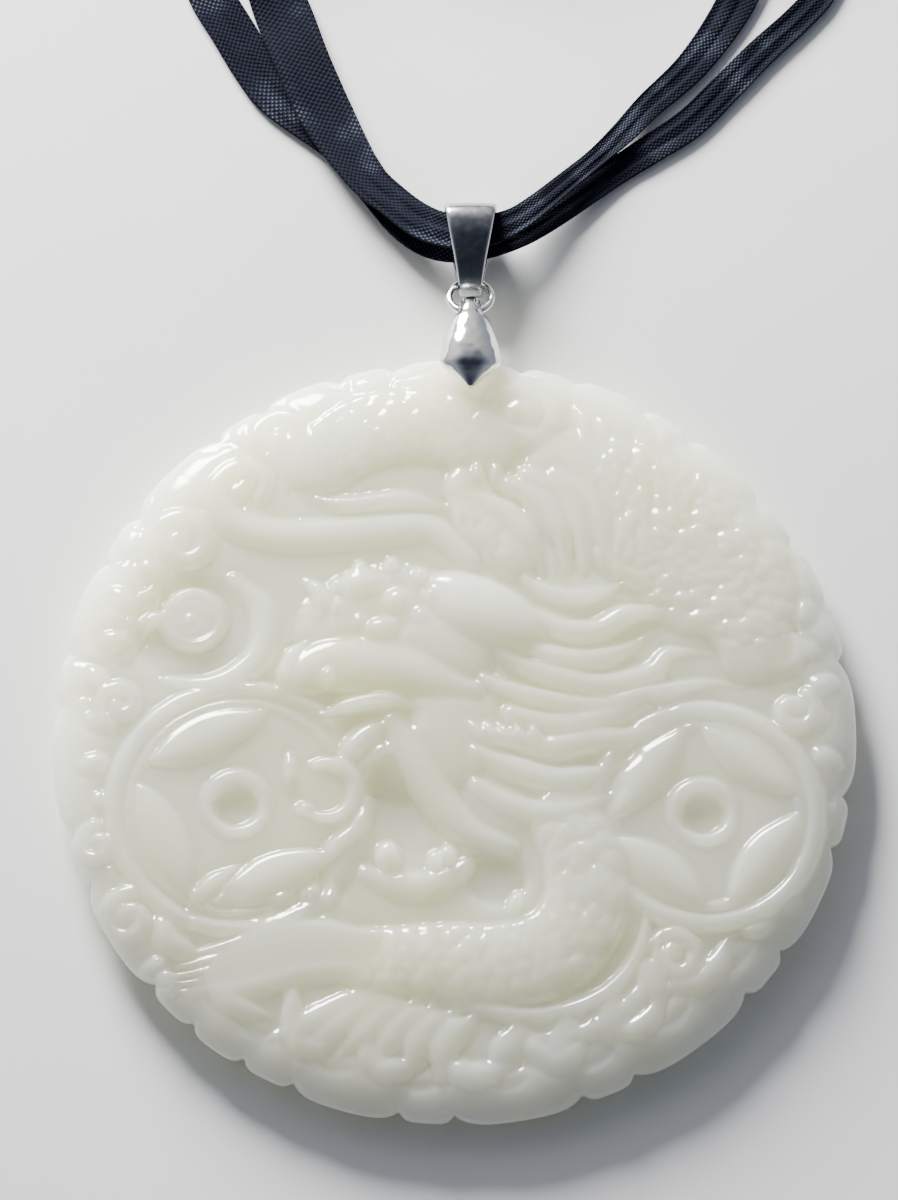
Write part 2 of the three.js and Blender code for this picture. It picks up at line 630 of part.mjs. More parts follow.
// Route of each ribbon from the coil, through the bail and back to the coil: x, y, z, tilt in degrees, where
// 0 lies flat and 90 stands on its edge, and half the width, which shrinks where the ribbon is gathered
const ROUTE_A = [
  [-7.2, 70.3, 0, -90, 1.6], [-10.4, 69.85, 0, -82, 1.6], [-12.7, 68.35, 0, -64, 1.6],
  [-14.3, 66, 0, -42, 1.6], [-14.75, 63, 0.7, -16, 1.6], [-13.24, 59.23, 0.6, 0, 1.75],
  [-11.5, 54.63, 1.05, 0, 1.85], [-9.56, 50.05, 1.15, 0, 2], [-6.84, 45.2, 1.75, 0, 1.5],
  [-4.71, 43, 2.2, 0, 1.3], [-2.7, 41.25, 2.55, 0, 1.35], [-0.9, 40.41, 2.72, 0, 1.35],
  [1, 40.15, 2.8, 0, 1.35], [2.9, 40.44, 2.68, 0, 1.2], [4.7, 41.28, 2.45, 0, 1],
  [6.4, 42.7, 2, 0, 0.9], [8.6, 44.77, 1.5, 0, 0.8], [10.8, 46.8, 1.1, 0, 0.76],
  [12.9, 48.95, 0.85, 0, 0.92], [14.9, 51.33, 0.5, 0, 1.04], [18.2, 54.65, 0.37, 0, 1.22],
  [21.2, 59.1, 0, 0, 1.45], [22.8, 63, 0, 15, 1.6], [23.7, 67, 0, 45, 1.6],
  [23.5, 71, 0, 70, 1.6], [22.9, 75.4, 0, 90, 1.6], [22, 79.6, 0, 90, 1.6],
];
const ROUTE_B = [
  [-8.6, 71.6, 0, -90, 1.6], [-12.9, 72, 0, -84, 1.6], [-16.6, 70.8, 0, -66, 1.6],
  [-19, 68, 0, -44, 1.6], [-19.7, 64.4, 0, -18, 1.6], [-18.8, 60.85, 0, 0, 1.7],
  [-17, 57.6, 0, 0, 1.7], [-15.1, 54.4, 0, 0, 1.75], [-13.1, 52.05, 0, 0, 1.9],
  [-8.65, 48.2, 0.45, 0, 1.6], [-6.03, 44.5, 0.8, 0, 1.4], [-3.78, 41.3, 1.2, 0, 1.25],
  [-1.33, 39.8, 1.5, 0, 1.4], [1.5, 39.6, 1.75, 0, 1.4], [4.75, 40.45, 1.45, 0, 1.1],
  [7.6, 42.35, 0.9, 0, 1.07], [12, 45.75, 0, 0, 1.07], [15, 47.8, 0, 0, 1.15],
  [18, 49.9, 0, 0, 1.22], [20.6, 52.6, 0, 0, 1.2], [23.3, 55.5, 0, 0, 1.15],
  [26.3, 58.4, 0, 0, 1.1], [28.2, 60.8, 0, 0, 1.15], [28.9, 64.2, 0, 15, 1.4],
  [28.4, 67.9, 0, 45, 1.6], [26.8, 72.2, 0, 70, 1.6], [24.9, 76.2, 0, 90, 1.6],
  [23.3, 80.6, 0, 90, 1.6],
];

function ribbonGeometry(route) {
  const sides = 8;
  const tilts = route.map((p) => rad(p[3]));
  const points = route.map(([x, y, z, , half], k) => {
    const reach = half * Math.abs(Math.sin(tilts[k])) + RIBBON_HALF_THICK * Math.cos(tilts[k]);
    return new THREE.Vector3(x, y, Math.max(z, FLOOR_GAP + reach));
  });
  const curve = new THREE.CatmullRomCurve3(points, false, 'centripetal');
  const up = new THREE.Vector3(0, 0, 1);
  const sections = points.map((p, k) => {
    const along = curve.getTangent(k / (points.length - 1));
    const right = along.clone().cross(up).normalize();
    const above = right.clone().cross(along);
    const cos = Math.cos(tilts[k]);
    const sin = Math.sin(tilts[k]);
    const across = right.clone().multiplyScalar(cos).addScaledVector(above, -sin);
    const normal = above.multiplyScalar(cos).addScaledVector(right, sin);
    const half = route[k][4];
    return Array.from({ length: sides }, (_, s) => {
      const a = ((s + 0.5) / sides) * 2 * Math.PI;
      return p.clone()
        .addScaledVector(across, (half * Math.cos(a)) / Math.cos(Math.PI / sides))
        .addScaledVector(normal, (RIBBON_HALF_THICK * Math.sin(a)) / Math.sin((Math.PI * 3) / sides))
        .toArray();
    });
  });
  return skin(sections, false);
}

function coilGeometry() {
  const profile = [
    [COIL_INNER, COIL_BOTTOM], [COIL_OUTER, COIL_BOTTOM], [COIL_OUTER, COIL_TOP], [COIL_INNER, COIL_TOP],
    [COIL_INNER, COIL_BOTTOM],
  ];
  const ring = new THREE.LatheGeometry(profile.map(([r, z]) => new THREE.Vector2(r, z)), 40);
  ring.rotateX(Math.PI / 2);
  return ring;
}

// A band round the coil's section
function tieGeometry() {
  const frame = (grow) => [
    [COIL_INNER - grow, COIL_BOTTOM - grow],
    [COIL_OUTER + grow, COIL_BOTTOM - grow],
    [COIL_OUTER + grow, COIL_TOP + grow],
    [COIL_INNER - grow, COIL_TOP + grow],
  ].map(([r, z]) => new THREE.Vector2(r, z));
  const shape = new THREE.Shape(frame(GAP + TIE_SHEET));
  shape.holes.push(new THREE.Path(frame(GAP)));
  const band = new THREE.ExtrudeGeometry(shape, { depth: TIE_LENGTH, bevelEnabled: false });
  band.translate(0, 0, -TIE_LENGTH / 2);
  band.rotateX(Math.PI / 2);
  band.rotateZ(rad(TIE_DEG));
  return band;
}

const crimpEyeReach = CRIMP.length / 2 + EYE_RADIUS;

// A folded clamp with an eye on its far end, along +X
function crimpGeometry() {
  const body = new THREE.BoxGeometry(CRIMP.length, CRIMP.thick, CRIMP.height);
  const eye = new THREE.TorusGeometry(EYE_RADIUS, EYE_WIRE, 6, 14);
  eye.translate(crimpEyeReach, 0, 0);
  return fromSolid(toSolid(body).add(toSolid(eye)));
}

// A hook shaped spring clasp along +X, with an upright link at its start
function claspGeometry() {
  const link = new THREE.TorusGeometry(CLASP.link, EYE_WIRE, 6, 14);
  link.rotateX(Math.PI / 2);
  link.translate(CLASP.link, 0, 0);
  const start = 2 * CLASP.link;
  const middle = start + CLASP.length * 0.6;
  const outline = new THREE.Shape();
  outline.moveTo(start - 0.2, -0.5);
  outline.quadraticCurveTo(start + 1.5, -0.6, middle, -CLASP.half);
  outline.quadraticCurveTo(start + CLASP.length, -CLASP.half, start + CLASP.length, 0);
  outline.quadraticCurveTo(start + CLASP.length, CLASP.half, middle, CLASP.half);
  outline.quadraticCurveTo(start + 1.5, 0.6, start - 0.2, 0.5);
  outline.closePath();
  const opening = new THREE.Path();
  opening.absellipse(middle + 0.9, 0, CLASP.length * 0.25, CLASP.half * 0.55, 0, 2 * Math.PI);
  outline.holes.push(opening);
  const plate = { depth: CLASP.thick, bevelEnabled: false, curveSegments: 5 };
  const body = new THREE.ExtrudeGeometry(outline, plate);
  body.translate(0, 0, -CLASP.thick / 2);
  return fromSolid(toSolid(body).add(toSolid(link)));
}

function crimpPlace({ deg, radius, heading }, along) {
  const [x, y] = polar(...COIL_CENTRE, radius, deg);
  return polar(x, y, along, heading);
}

const pendant = new THREE.Group();
function piece(name, geometry, material) {
  const mesh = new THREE.Mesh(geometry, material);
  mesh.name = name;
  pendant.add(mesh);
  return mesh;
}

const hole = toSolid(uprightRod(HANG_X, HOLE_Y, -1, FIELD_Z + 3, HOLE_RADIUS));
piece('jade_disc', fromSolid(toSolid(discGeometry()).subtract(hole)), jade);
piece('pinch_cap', capGeometry(), metal);
const wireRing = new THREE.TorusGeometry(RING_RADIUS, RING_WIRE, 8, 20);
wireRing.rotateX(rad(RING_TILT_DEG));
piece('jump_ring', wireRing, metal).position.set(HANG_X, RING_Y, RING_Z);
piece('bail', bailGeometry(), metal);
piece('ribbon_a', ribbonGeometry(ROUTE_A), gauze);
piece('ribbon_b', ribbonGeometry(ROUTE_B), gauze);
piece('ribbon_coil', coilGeometry(), gauze).position.set(...COIL_CENTRE, 0);
piece('coil_tie', tieGeometry(), gauze).position.set(...COIL_CENTRE, 0);

for (const [name, place] of [['crimp_left', CRIMP_LEFT], ['crimp_right', CRIMP_RIGHT]]) {
  const crimp = piece(name, crimpGeometry(), metal);
  crimp.position.set(...crimpPlace(place, 0), CRIMP.z);
  crimp.rotation.z = rad(place.heading);
}

const clasp = piece('clasp', claspGeometry(), metal);
clasp.position.set(...crimpPlace(CRIMP_LEFT, crimpEyeReach), CRIMP.z);
clasp.rotation.z = rad(CLASP.heading);

const claspRing = new THREE.TorusGeometry(CLASP_RING.radius, CLASP_RING.wire, 6, 16);
claspRing.rotateX(Math.PI / 2);
claspRing.translate(CLASP_RING.radius, 0, 0);
const endRing = piece('clasp_ring', claspRing, metal);
endRing.position.set(...crimpPlace(CRIMP_RIGHT, crimpEyeReach), CRIMP.z);
endRing.rotation.z = rad(CLASP_RING.heading);

export default pendant;
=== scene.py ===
"""A carved jade disc pendant with its metal fittings and two gauze ribbons, lying on a pale floor.

Sizes in this file are millimetres until a mesh or a light is made.
"""

import math

import bpy
import numpy as np
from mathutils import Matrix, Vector


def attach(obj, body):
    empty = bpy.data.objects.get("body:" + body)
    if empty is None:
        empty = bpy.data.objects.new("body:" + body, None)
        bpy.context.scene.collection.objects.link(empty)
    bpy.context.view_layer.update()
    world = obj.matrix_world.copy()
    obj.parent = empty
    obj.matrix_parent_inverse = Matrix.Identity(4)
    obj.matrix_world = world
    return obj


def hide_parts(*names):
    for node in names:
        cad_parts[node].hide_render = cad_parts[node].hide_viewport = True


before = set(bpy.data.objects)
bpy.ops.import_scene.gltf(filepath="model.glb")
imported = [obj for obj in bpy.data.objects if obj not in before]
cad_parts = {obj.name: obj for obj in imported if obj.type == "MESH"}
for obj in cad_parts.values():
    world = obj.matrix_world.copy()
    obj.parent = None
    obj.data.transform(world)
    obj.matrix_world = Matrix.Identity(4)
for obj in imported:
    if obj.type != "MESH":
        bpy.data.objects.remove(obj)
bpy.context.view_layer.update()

MM = 0.001
FLOOR_REACH = 3000

# Camera
CAMERA_DISTANCE = 900.0
CAMERA_ELEVATION = 71.367
CAMERA_TARGET = (-0.3734, 10.990, 2.1)
CAMERA_ANGLE = 5.7235

# Disc, as in the solid
NOTCH_RADIUS = 29.25
LOBE_RISE = 0.8
LOBE_POWER = 5
SMALL_LOBE_SHARE = 0.85
SMALL_LOBES_DEG = [16, 35, 57, 76, 103, 123, 148, 171, 199, 225, 242, 266, 293, 321.5, 347]
SMALL_LOBE_HALF_DEG = 4.0
NOTCH_START = 0.4
EDGE_Z = 2.1
RIM_WIDTH = 3.6
BACK_BEVEL = 5.0
FIELD_Z = 4.3
FIELD_FALL = 0.9
CARVING_DROP = 1.05
RELIEF_SHARE = 0.63
SEAT_Z = 4.1
SEAT_RADIUS = 2.4
HANG_X = 1.25
HOLE_Y = 27.6
DISC_GRID = 296
POLISH_PASSES = 2
MOAT = 0.28
MOAT_WIDTH = 0.7
# The edge's underside: how far in from the widest line, and how far below it
UNDERSIDE = [
    (0.28, 0.45), (0.7, 0.8), (1.6, 1.25), (2.9, 1.66), (4.0, 1.93), (BACK_BEVEL, EDGE_Z), (9.0, EDGE_Z),
]

# Light, in metres and watts
KEY_PLACE = (-0.126, 0.3, 0.12)
KEY_TARGET = (0, 0.01, 0)
KEY_SIZE = 0.15
KEY_POWER = 6.7
KEY_COLOUR = (1.0, 0.985, 0.95)
WINDOW_DIRECTION = (-0.52, 0.8, 0.3)
ROOM_STRENGTH = 0.8
STONE_SCATTER = 0.018

# Fittings
SHEET = 0.4
SHEET_COLUMNS = 13
CAP_BOW = 0.42
BAIL_BOW = 0.05
BOW_FROM_Z = 2.4
BOW_FADE = 1.4
RING_Y = 35.0
RING_Z = 2.5
RING_RADIUS = 1.6
RING_WIRE = 0.3
RING_TILT_DEG = -25

# Ribbons
RIBBON_HALF_WIDTH = 1.6
RIBBON_HALF_THICK = 0.25
FLOOR_GAP = 0.12
RIBBON_STEP = 0.7
GAUZE_COLUMNS = 25
GAUZE_HALF_THICK = 0.07
HEM_EXTRA = 0.07
HEM_SHARE = 0.12
PLEAT_DEPTH = 0.055
PLEATS_END_Y = 63
PLEATS_FADE = 4
GAUZE_LOWEST_Z = 0.03
THREAD_ALONG = 0.42
THREAD_ACROSS = 0.4
SELVEDGE_AT = 1.25
SELVEDGE_HALF = 0.16
SELVEDGE_DOT = 0.45
COIL_CENTRE = (3.0, 88.0)
COIL_START = 20.4
COIL_SPACING = 1.2
COIL_PITCH = 4 * COIL_SPACING
COIL_STEP_DEG = 15.0
INWARD_TURN_DEG = 94.0
COIL_Z = 2.25
CRIMP_Z = 1.75
CRIMP_LEFT_MOUTH = (-1.90, 7.77)
CRIMP_RIGHT_MOUTH = (3.22, -7.32)


def smooth(t):
    t = np.clip(t, 0, 1)
    return t * t * (3 - 2 * t)


def polar(cx, cy, r, degrees):
    a = math.radians(degrees)
    return cx + r * math.cos(a), cy + r * math.sin(a)


def make_mesh(name, vertices, faces, shade_smooth=True):
    """A mesh object from vertices in millimetres."""
    mesh = bpy.data.meshes.new(name)
    scaled = np.asarray(vertices, float) * MM
    mesh.from_pydata(scaled.tolist(), [], faces)
    mesh.validate()
    mesh.shade_smooth() if shade_smooth else mesh.shade_flat()
    obj = bpy.data.objects.new(name, mesh)
    bpy.context.scene.collection.objects.link(obj)
    return obj


def keep(obj, slot, *nodes):
    """The piece moves with the object and stands for the CAD nodes; slot is not used."""
    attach(obj, "root")
    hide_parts(*nodes)


def make_camera():
    data = bpy.data.cameras.new("camera")
    data.sensor_fit = "VERTICAL"
    data.sensor_height = 24.0
    data.lens = data.sensor_height / 2 / math.tan(math.radians(CAMERA_ANGLE) / 2)
    data.clip_end = 10
    camera = bpy.data.objects.new("camera", data)
    bpy.context.scene.collection.objects.link(camera)
    target = Vector(CAMERA_TARGET) * MM
    e = math.radians(CAMERA_ELEVATION)
    back = Vector((0, -math.cos(e), math.sin(e)))
    camera.location = target + back * CAMERA_DISTANCE * MM
    camera.rotation_euler = (-back).to_track_quat("-Z", "Y").to_euler()
    bpy.context.scene.camera = camera


# Ribbons


def catmull(points, per_span):
    """A smooth curve through rows of numbers."""
    p = np.asarray(points, float)
    q = np.concatenate([[2 * p[0] - p[1]], p, [2 * p[-1] - p[-2]]])
    t = np.arange(per_span)[:, None] / per_span
    spans = []
    for a, b, c, d in zip(q, q[1:], q[2:], q[3:]):
        cubic = (3 * b - a - 3 * c + d) * t**3
        square = (2 * a - 5 * b + 4 * c - d) * t**2
        spans.append(0.5 * (2 * b + (c - a) * t + square + cubic))
    return np.concatenate(spans + [p[-1:]])


def resample(rows, step):
    """Rows of x, y, z and more at even steps along the line that x, y, z make."""
    run = np.concatenate([[0], np.cumsum(np.linalg.norm(np.diff(rows[:, :3], axis=0), axis=1))])
    count = max(2, int(round(run[-1] / step)) + 1)
    at = np.linspace(0, run[-1], count)
    return np.stack([np.interp(at, run, rows[:, k]) for k in range(rows.shape[1])], 1), at


# Rows of x, y, z, tilt in degrees and half width; z is raised where the floor needs it
ROUTE_A = [
    (-7.2, 70.3, 0, -90, 1.6), (-10.4, 69.85, 0, -82, 1.6), (-12.7, 68.35, 0, -64, 1.6),
    (-14.3, 66, 0, -42, 1.6), (-14.75, 63, 0.7, -16, 1.6), (-13.24, 59.23, 0.6, 0, 2.15),
    (-11.5, 54.63, 1.05, 0, 2.05), (-9.56, 50.05, 1.15, 0, 2), (-6.84, 45.2, 1.75, 0, 1.5),
    (-4.71, 43, 2.2, 0, 1.3), (-2.7, 41.25, 2.55, 0, 1.35), (-0.9, 40.41, 2.72, 0, 1.35),
    (1, 40.15, 2.8, 0, 1.35), (2.9, 40.44, 2.68, 0, 1.2), (4.7, 41.28, 2.45, 0, 1),
    (6.4, 42.7, 2, 0, 0.9), (8.6, 44.77, 1.5, 0, 0.8), (10.8, 46.8, 1.1, 0, 0.76),
    (12.9, 48.95, 0.85, 0, 0.92), (14.9, 51.33, 0.5, 0, 1.04), (18.2, 54.65, 0.37, 0, 1.22),
    (21.2, 59.1, 0, 0, 1.45), (22.8, 63, 0, 15, 1.6), (23.7, 67, 0, 45, 1.6),
    (23.5, 71, 0, 70, 1.6), (22.9, 75.4, 0, 90, 1.6), (22, 79.6, 0, 90, 1.6),
]
ROUTE_B = [
    (-8.6, 71.6, 0, -90, 1.6), (-12.9, 72, 0, -84, 1.6), (-16.6, 70.8, 0, -66, 1.6),
    (-19, 68, 0, -44, 1.6), (-19.7, 64.4, 0, -18, 1.6), (-18.8, 60.85, 0, 0, 1.7),
    (-17, 57.6, 0, 0, 1.7), (-15.1, 54.4, 0, 0, 1.75), (-13.1, 52.05, 0, 0, 1.9),
    (-8.65, 48.2, 0.45, 0, 1.6), (-6.03, 44.5, 0.8, 0, 1.4), (-3.78, 41.3, 1.2, 0, 1.25),
    (-1.33, 39.8, 1.5, 0, 1.4), (1.5, 39.6, 1.75, 0, 1.4), (4.75, 40.45, 1.45, 0, 1.1),
    (7.6, 42.35, 0.9, 0, 1.07), (12, 45.75, 0, 0, 1.07), (15, 47.8, 0, 0, 1.15),
    (18, 49.9, 0, 0, 1.22), (20.6, 52.6, 0, 0, 1.2), (23.3, 55.5, 0, 0, 1.15),
    (26.3, 58.4, 0, 0, 1.1), (28.2, 60.8, 0, 0, 1.15), (28.9, 64.2, 0, 15, 1.4),
    (28.4, 67.9, 0, 45, 1.6), (26.8, 72.2, 0, 70, 1.6), (24.9, 76.2, 0, 90, 1.6),
    (23.3, 80.6, 0, 90, 1.6),
]


def coil_run(first, last, inset, mouth, across, tilt):
    """From the coil's entry, round and in to a crimp's mouth."""
    degrees = np.arange(first, last + 1, COIL_STEP_DEG)
    radii = COIL_START - COIL_PITCH * (degrees + 90) / 360 - inset
    end_r = math.hypot(*mouth)
    extra = np.linspace(0, 1, 8)[1:]
    slope = -COIL_PITCH / 360 * INWARD_TURN_DEG
    blend = smooth(extra)
    drop = slope * extra * (1 - blend) + (end_r + across - radii[-1]) * blend
    degrees = np.concatenate([degrees, last + INWARD_TURN_DEG * extra])
    radii = np.concatenate([radii, radii[-1] + drop])
    low = smooth((degrees - last) / INWARD_TURN_DEG)
    rows = [polar(*COIL_CENTRE, r, a) for r, a in zip(radii, degrees)]
    return [
        (x, y, COIL_Z + (CRIMP_Z - COIL_Z) * k, tilt, RIBBON_HALF_WIDTH) for (x, y), k in zip(rows, low)
    ]


def ribbon_rows(route, left_inset, right_inset, across):
    rows = []
    for x, y, z, tilt, half in route:
        t = math.radians(tilt)
        reach = half * abs(math.sin(t)) + RIBBON_HALF_THICK * math.cos(t)
        rows.append((x, y, max(z, FLOOR_GAP + reach), tilt, half))
    left = coil_run(-90, 370, left_inset, CRIMP_LEFT_MOUTH, across, -90)
    right = coil_run(0, 560, right_inset, CRIMP_RIGHT_MOUTH, -across, 90)
    line = catmull(left[::-1] + rows + right, 10)
    return resample(line, RIBBON_STEP)


def make_ribbon(name, route, left_inset, right_inset, across, phase):
    rows, run = ribbon_rows(route, left_inset, right_inset, across)
    centre, tilt = rows[:, :3], np.radians(rows[:, 3])
    along = np.gradient(centre, axis=0)
    along /= np.linalg.norm(along, axis=1)[:, None]
    right = np.cross(along, (0, 0, 1))
    right /= np.linalg.norm(right, axis=1)[:, None]
    above = np.cross(right, along)
    cos, sin = np.cos(tilt)[:, None], np.sin(tilt)[:, None]
    side = right * cos - above * sin
    normal = above * cos + right * sin
    half = rows[:, 4]
    open_part = smooth((PLEATS_END_Y - centre[:, 1]) / PLEATS_FADE)
    u = np.linspace(-1, 1, GAUZE_COLUMNS)
    wander = 0.05 * run + 0.35 * np.sin(0.31 * run + 5 * phase) + phase
    folds = np.cos(math.pi * (2.2 * u[None, :] + wander[:, None]))
    creases = np.cos(math.pi * (5.3 * u[None, :] - 1.7 * wander[:, None]))
    depth = PLEAT_DEPTH * open_part
    pleat = depth[:, None] * (folds + 0.35 * creases) * (1 - 0.4 * u**2)[None, :]
    thick = GAUZE_HALF_THICK + HEM_EXTRA * np.exp(-((np.abs(u) - 1) / HEM_SHARE) ** 2)
    layers = []
    for sign in (1, -1):
        lift = (pleat + sign * thick[None, :])[..., None]
        reach = (half[:, None] * u)[..., None]
        layers.append(centre[:, None] + side[:, None] * reach + normal[:, None] * lift)
    top, low = layers
    ring = np.concatenate([top, low[:, ::-1]], 1)
    count, size = ring.shape[:2]
    vertices = ring.reshape(-1, 3)
    vertices[:, 2] = np.maximum(vertices[:, 2], GAUZE_LOWEST_Z)
    k, s = np.meshgrid(np.arange(count - 1), np.arange(size), indexing="ij")
    n = (s + 1) % size
    quads = np.stack([k * size + s, k * size + n, (k + 1) * size + n, (k + 1) * size + s], -1).reshape(-1, 4)
    faces = quads.tolist()
    faces.append(list(range(size))[::-1])
    faces.append([(count - 1) * size + j for j in range(size)])
    obj = make_mesh(name, vertices, faces)
    ring_u = np.concatenate([u, u[::-1]]) * RIBBON_HALF_WIDTH
    place = np.stack([np.repeat(run, size), np.tile(ring_u, count)], 1) * MM
    uv = obj.data.uv_layers.new(name="ribbon")
    loops = np.zeros(len(obj.data.loops), np.int32)
    obj.data.loops.foreach_get("vertex_index", loops)
    uv.data.foreach_set("uv", place[loops].astype(np.float32).ravel())
    return obj, centre, run[-1]


def make_ribbons():
    ribbons = []
    specs = [
        ("ribbon_a_gauze", ROUTE_A, 2, 1, 0.3, 0.0, ("ribbon_a", "ribbon_coil")),
        ("ribbon_b_gauze", ROUTE_B, 3, 0, -0.3, 0.7, ("ribbon_b",)),
    ]
    for name, route, left, right, across, phase, stands_for in specs:
        obj, centre, length = make_ribbon(
            name, route, left * COIL_SPACING, right * COIL_SPACING, across, phase
        )
        keep(obj, "gauze", *stands_for)
        ribbons.append(obj)
    return ribbons


# Relief


def lobe_edges():
    return sorted(
        a % 360
        for c in SMALL_LOBES_DEG
        for a in (c - SMALL_LOBE_HALF_DEG, c + SMALL_LOBE_HALF_DEG)
    )


def outline_radius(degrees):
    """Radius of the scalloped outline in each direction."""
    edges = np.array(lobe_edges())
    starts = np.concatenate([[edges[-1] - 360], edges])
    ends = np.concatenate([edges, [edges[0] + 360]])
    a = degrees % 360
    i = np.searchsorted(edges, a, side="right")
    across = (2 * a - ends[i] - starts[i]) / (ends[i] - starts[i])
    share = np.where(ends[i] - starts[i] < 2 * SMALL_LOBE_HALF_DEG + 1, SMALL_LOBE_SHARE, 1.0)
    return NOTCH_RADIUS + LOBE_RISE * share * (1 - np.abs(across) ** LOBE_POWER)


class Relief:
    """Heights of the carved face at a set of points, raised and cut stroke by stroke."""

    def __init__(self, x, y):
        self.x, self.y = x, y.copy()
        self.ground = FIELD_Z - FIELD_FALL * (x**2 + y**2) / NOTCH_RADIUS**2
        self.h = self.ground.copy()

    def near(self, line, reach):
        lo, hi = line.min(0) - reach, line.max(0) + reach
        inside = (self.x > lo[0]) & (self.x < hi[0]) & (self.y > lo[1]) & (self.y < hi[1])
        return np.flatnonzero(inside)

    def along(self, line, i):
        """Distance from the line, share of its length, side and the whole length, for points i."""
        px, py = self.x[i], self.y[i]
        steps = np.linalg.norm(np.diff(line, axis=0), axis=1)
        run = np.concatenate([[0], np.cumsum(steps)])
        best = np.full(len(i), 1e9)
        share = np.zeros(len(i))
        side = np.zeros(len(i))
        for k in range(len(steps)):
            ax, ay = line[k]
            dx, dy = line[k + 1] - line[k]
            t = np.clip(((px - ax) * dx + (py - ay) * dy) / (dx * dx + dy * dy + 1e-12), 0, 1)
            ex, ey = px - ax - t * dx, py - ay - t * dy
            d = ex * ex + ey * ey
            m = d < best
            best[m] = d[m]
            share[m] = run[k] + t[m] * steps[k]
            side[m] = np.sign(dx * ey[m] - dy * ex[m])
        return np.sqrt(best), share / run[-1], side, run[-1]

    def place(self, i, d, w, top, crown, moat):
        """Raises a rounded form where d < w and cuts a moat round it."""
        cut = moat * (1 - smooth((d - w) / MOAT_WIDTH))
        form = self.ground[i] + top * np.clip(1 - (d / np.maximum(w, 1e-6)) ** 2, 0, 1) ** crown
        self.h[i] = np.where(d > w, self.h[i] - cut, np.maximum(self.h[i] - moat, form))

    def band(self, points, half, top, ends=(0.25, 0.1), crown=0.55, moat=MOAT, line=None):
        """A rounded band along a line; ends are the shares of its width left at its two ends."""
        line = catmull(points, 10) if line is None else line
        i = self.near(line, half + MOAT_WIDTH)
        d, t, _, _ = self.along(line, i)
        first = ends[0] + (1 - ends[0]) * smooth(t / 0.3)
        last = ends[1] + (1 - ends[1]) * smooth((1 - t) / 0.45)
        share = first * last
        self.place(i, d, half * share, top * np.sqrt(np.maximum(share, 0.05)), crown, moat)

    def groove(self, points, half, depth):
        line = catmull(points, 10)
        i = self.near(line, half)
        d, t, _, _ = self.along(line, i)
        w = half * (0.3 + 0.7 * smooth(t / 0.3)) * (0.3 + 0.7 * smooth((1 - t) / 0.3))
        self.h[i] -= depth * np.sqrt(w / half) * np.clip(1 - (d / w) ** 2, 0, 1)

    def local(self, cx, cy, reach, turn):
        a = math.radians(turn)
        dx, dy = self.x - cx, self.y - cy
        i = np.flatnonzero(dx * dx + dy * dy < reach * reach)
        dx, dy = dx[i], dy[i]
        return i, dx * math.cos(a) + dy * math.sin(a), dy * math.cos(a) - dx * math.sin(a)

    def mound(self, cx, cy, rx, ry, turn, top, crown=0.5, moat=MOAT):
        i, u, v = self.local(cx, cy, max(rx, ry) + 2, turn)
        r = min(rx, ry)
        self.place(i, r * np.hypot(u / rx, v / ry), r, top, crown, moat)

    def hollow(self, cx, cy, rx, ry, turn, depth, power=1.0):
        i, u, v = self.local(cx, cy, max(rx, ry), turn)
        self.h[i] -= depth * np.clip(1 - (u / rx) ** 2 - (v / ry) ** 2, 0, 1) ** power

    def ring(self, cx, cy, r, half, top, arc=(0, 360), moat=MOAT):
        line = np.array([polar(cx, cy, r, a) for a in np.linspace(*arc, 48)])
        ends = (1, 1) if abs(arc[1] - arc[0]) >= 360 else (0.6, 0.6)
        self.band(None, half, top, ends, moat=moat, line=line)

    def curl(self, cx, cy, r, start, turns, sense):
        """A scroll: a band that winds in to its eye."""
        t = np.linspace(0, 1, 36)
        line = np.array([polar(cx, cy, r * (1 - 0.78 * q), start + sense * q * turns * 360) for q in t])
        self.band(None, r * 0.33, 0.95, (0.75, 0.9), line=line)

    def lens(self, cx, cy, length, width, turn, top):
        """A pointed leaf."""
        i, u, v = self.local(cx, cy, length / 2 + 1, turn)
        t = np.clip(2 * np.abs(u) / length, 0, 1.3)
        w = width / 2 * np.clip(1 - t**2, 1e-3, 1)
        d = np.abs(v) + np.maximum(t - 1, 0) * length / 2
        self.place(i, d, w, top, 0.45, MOAT)

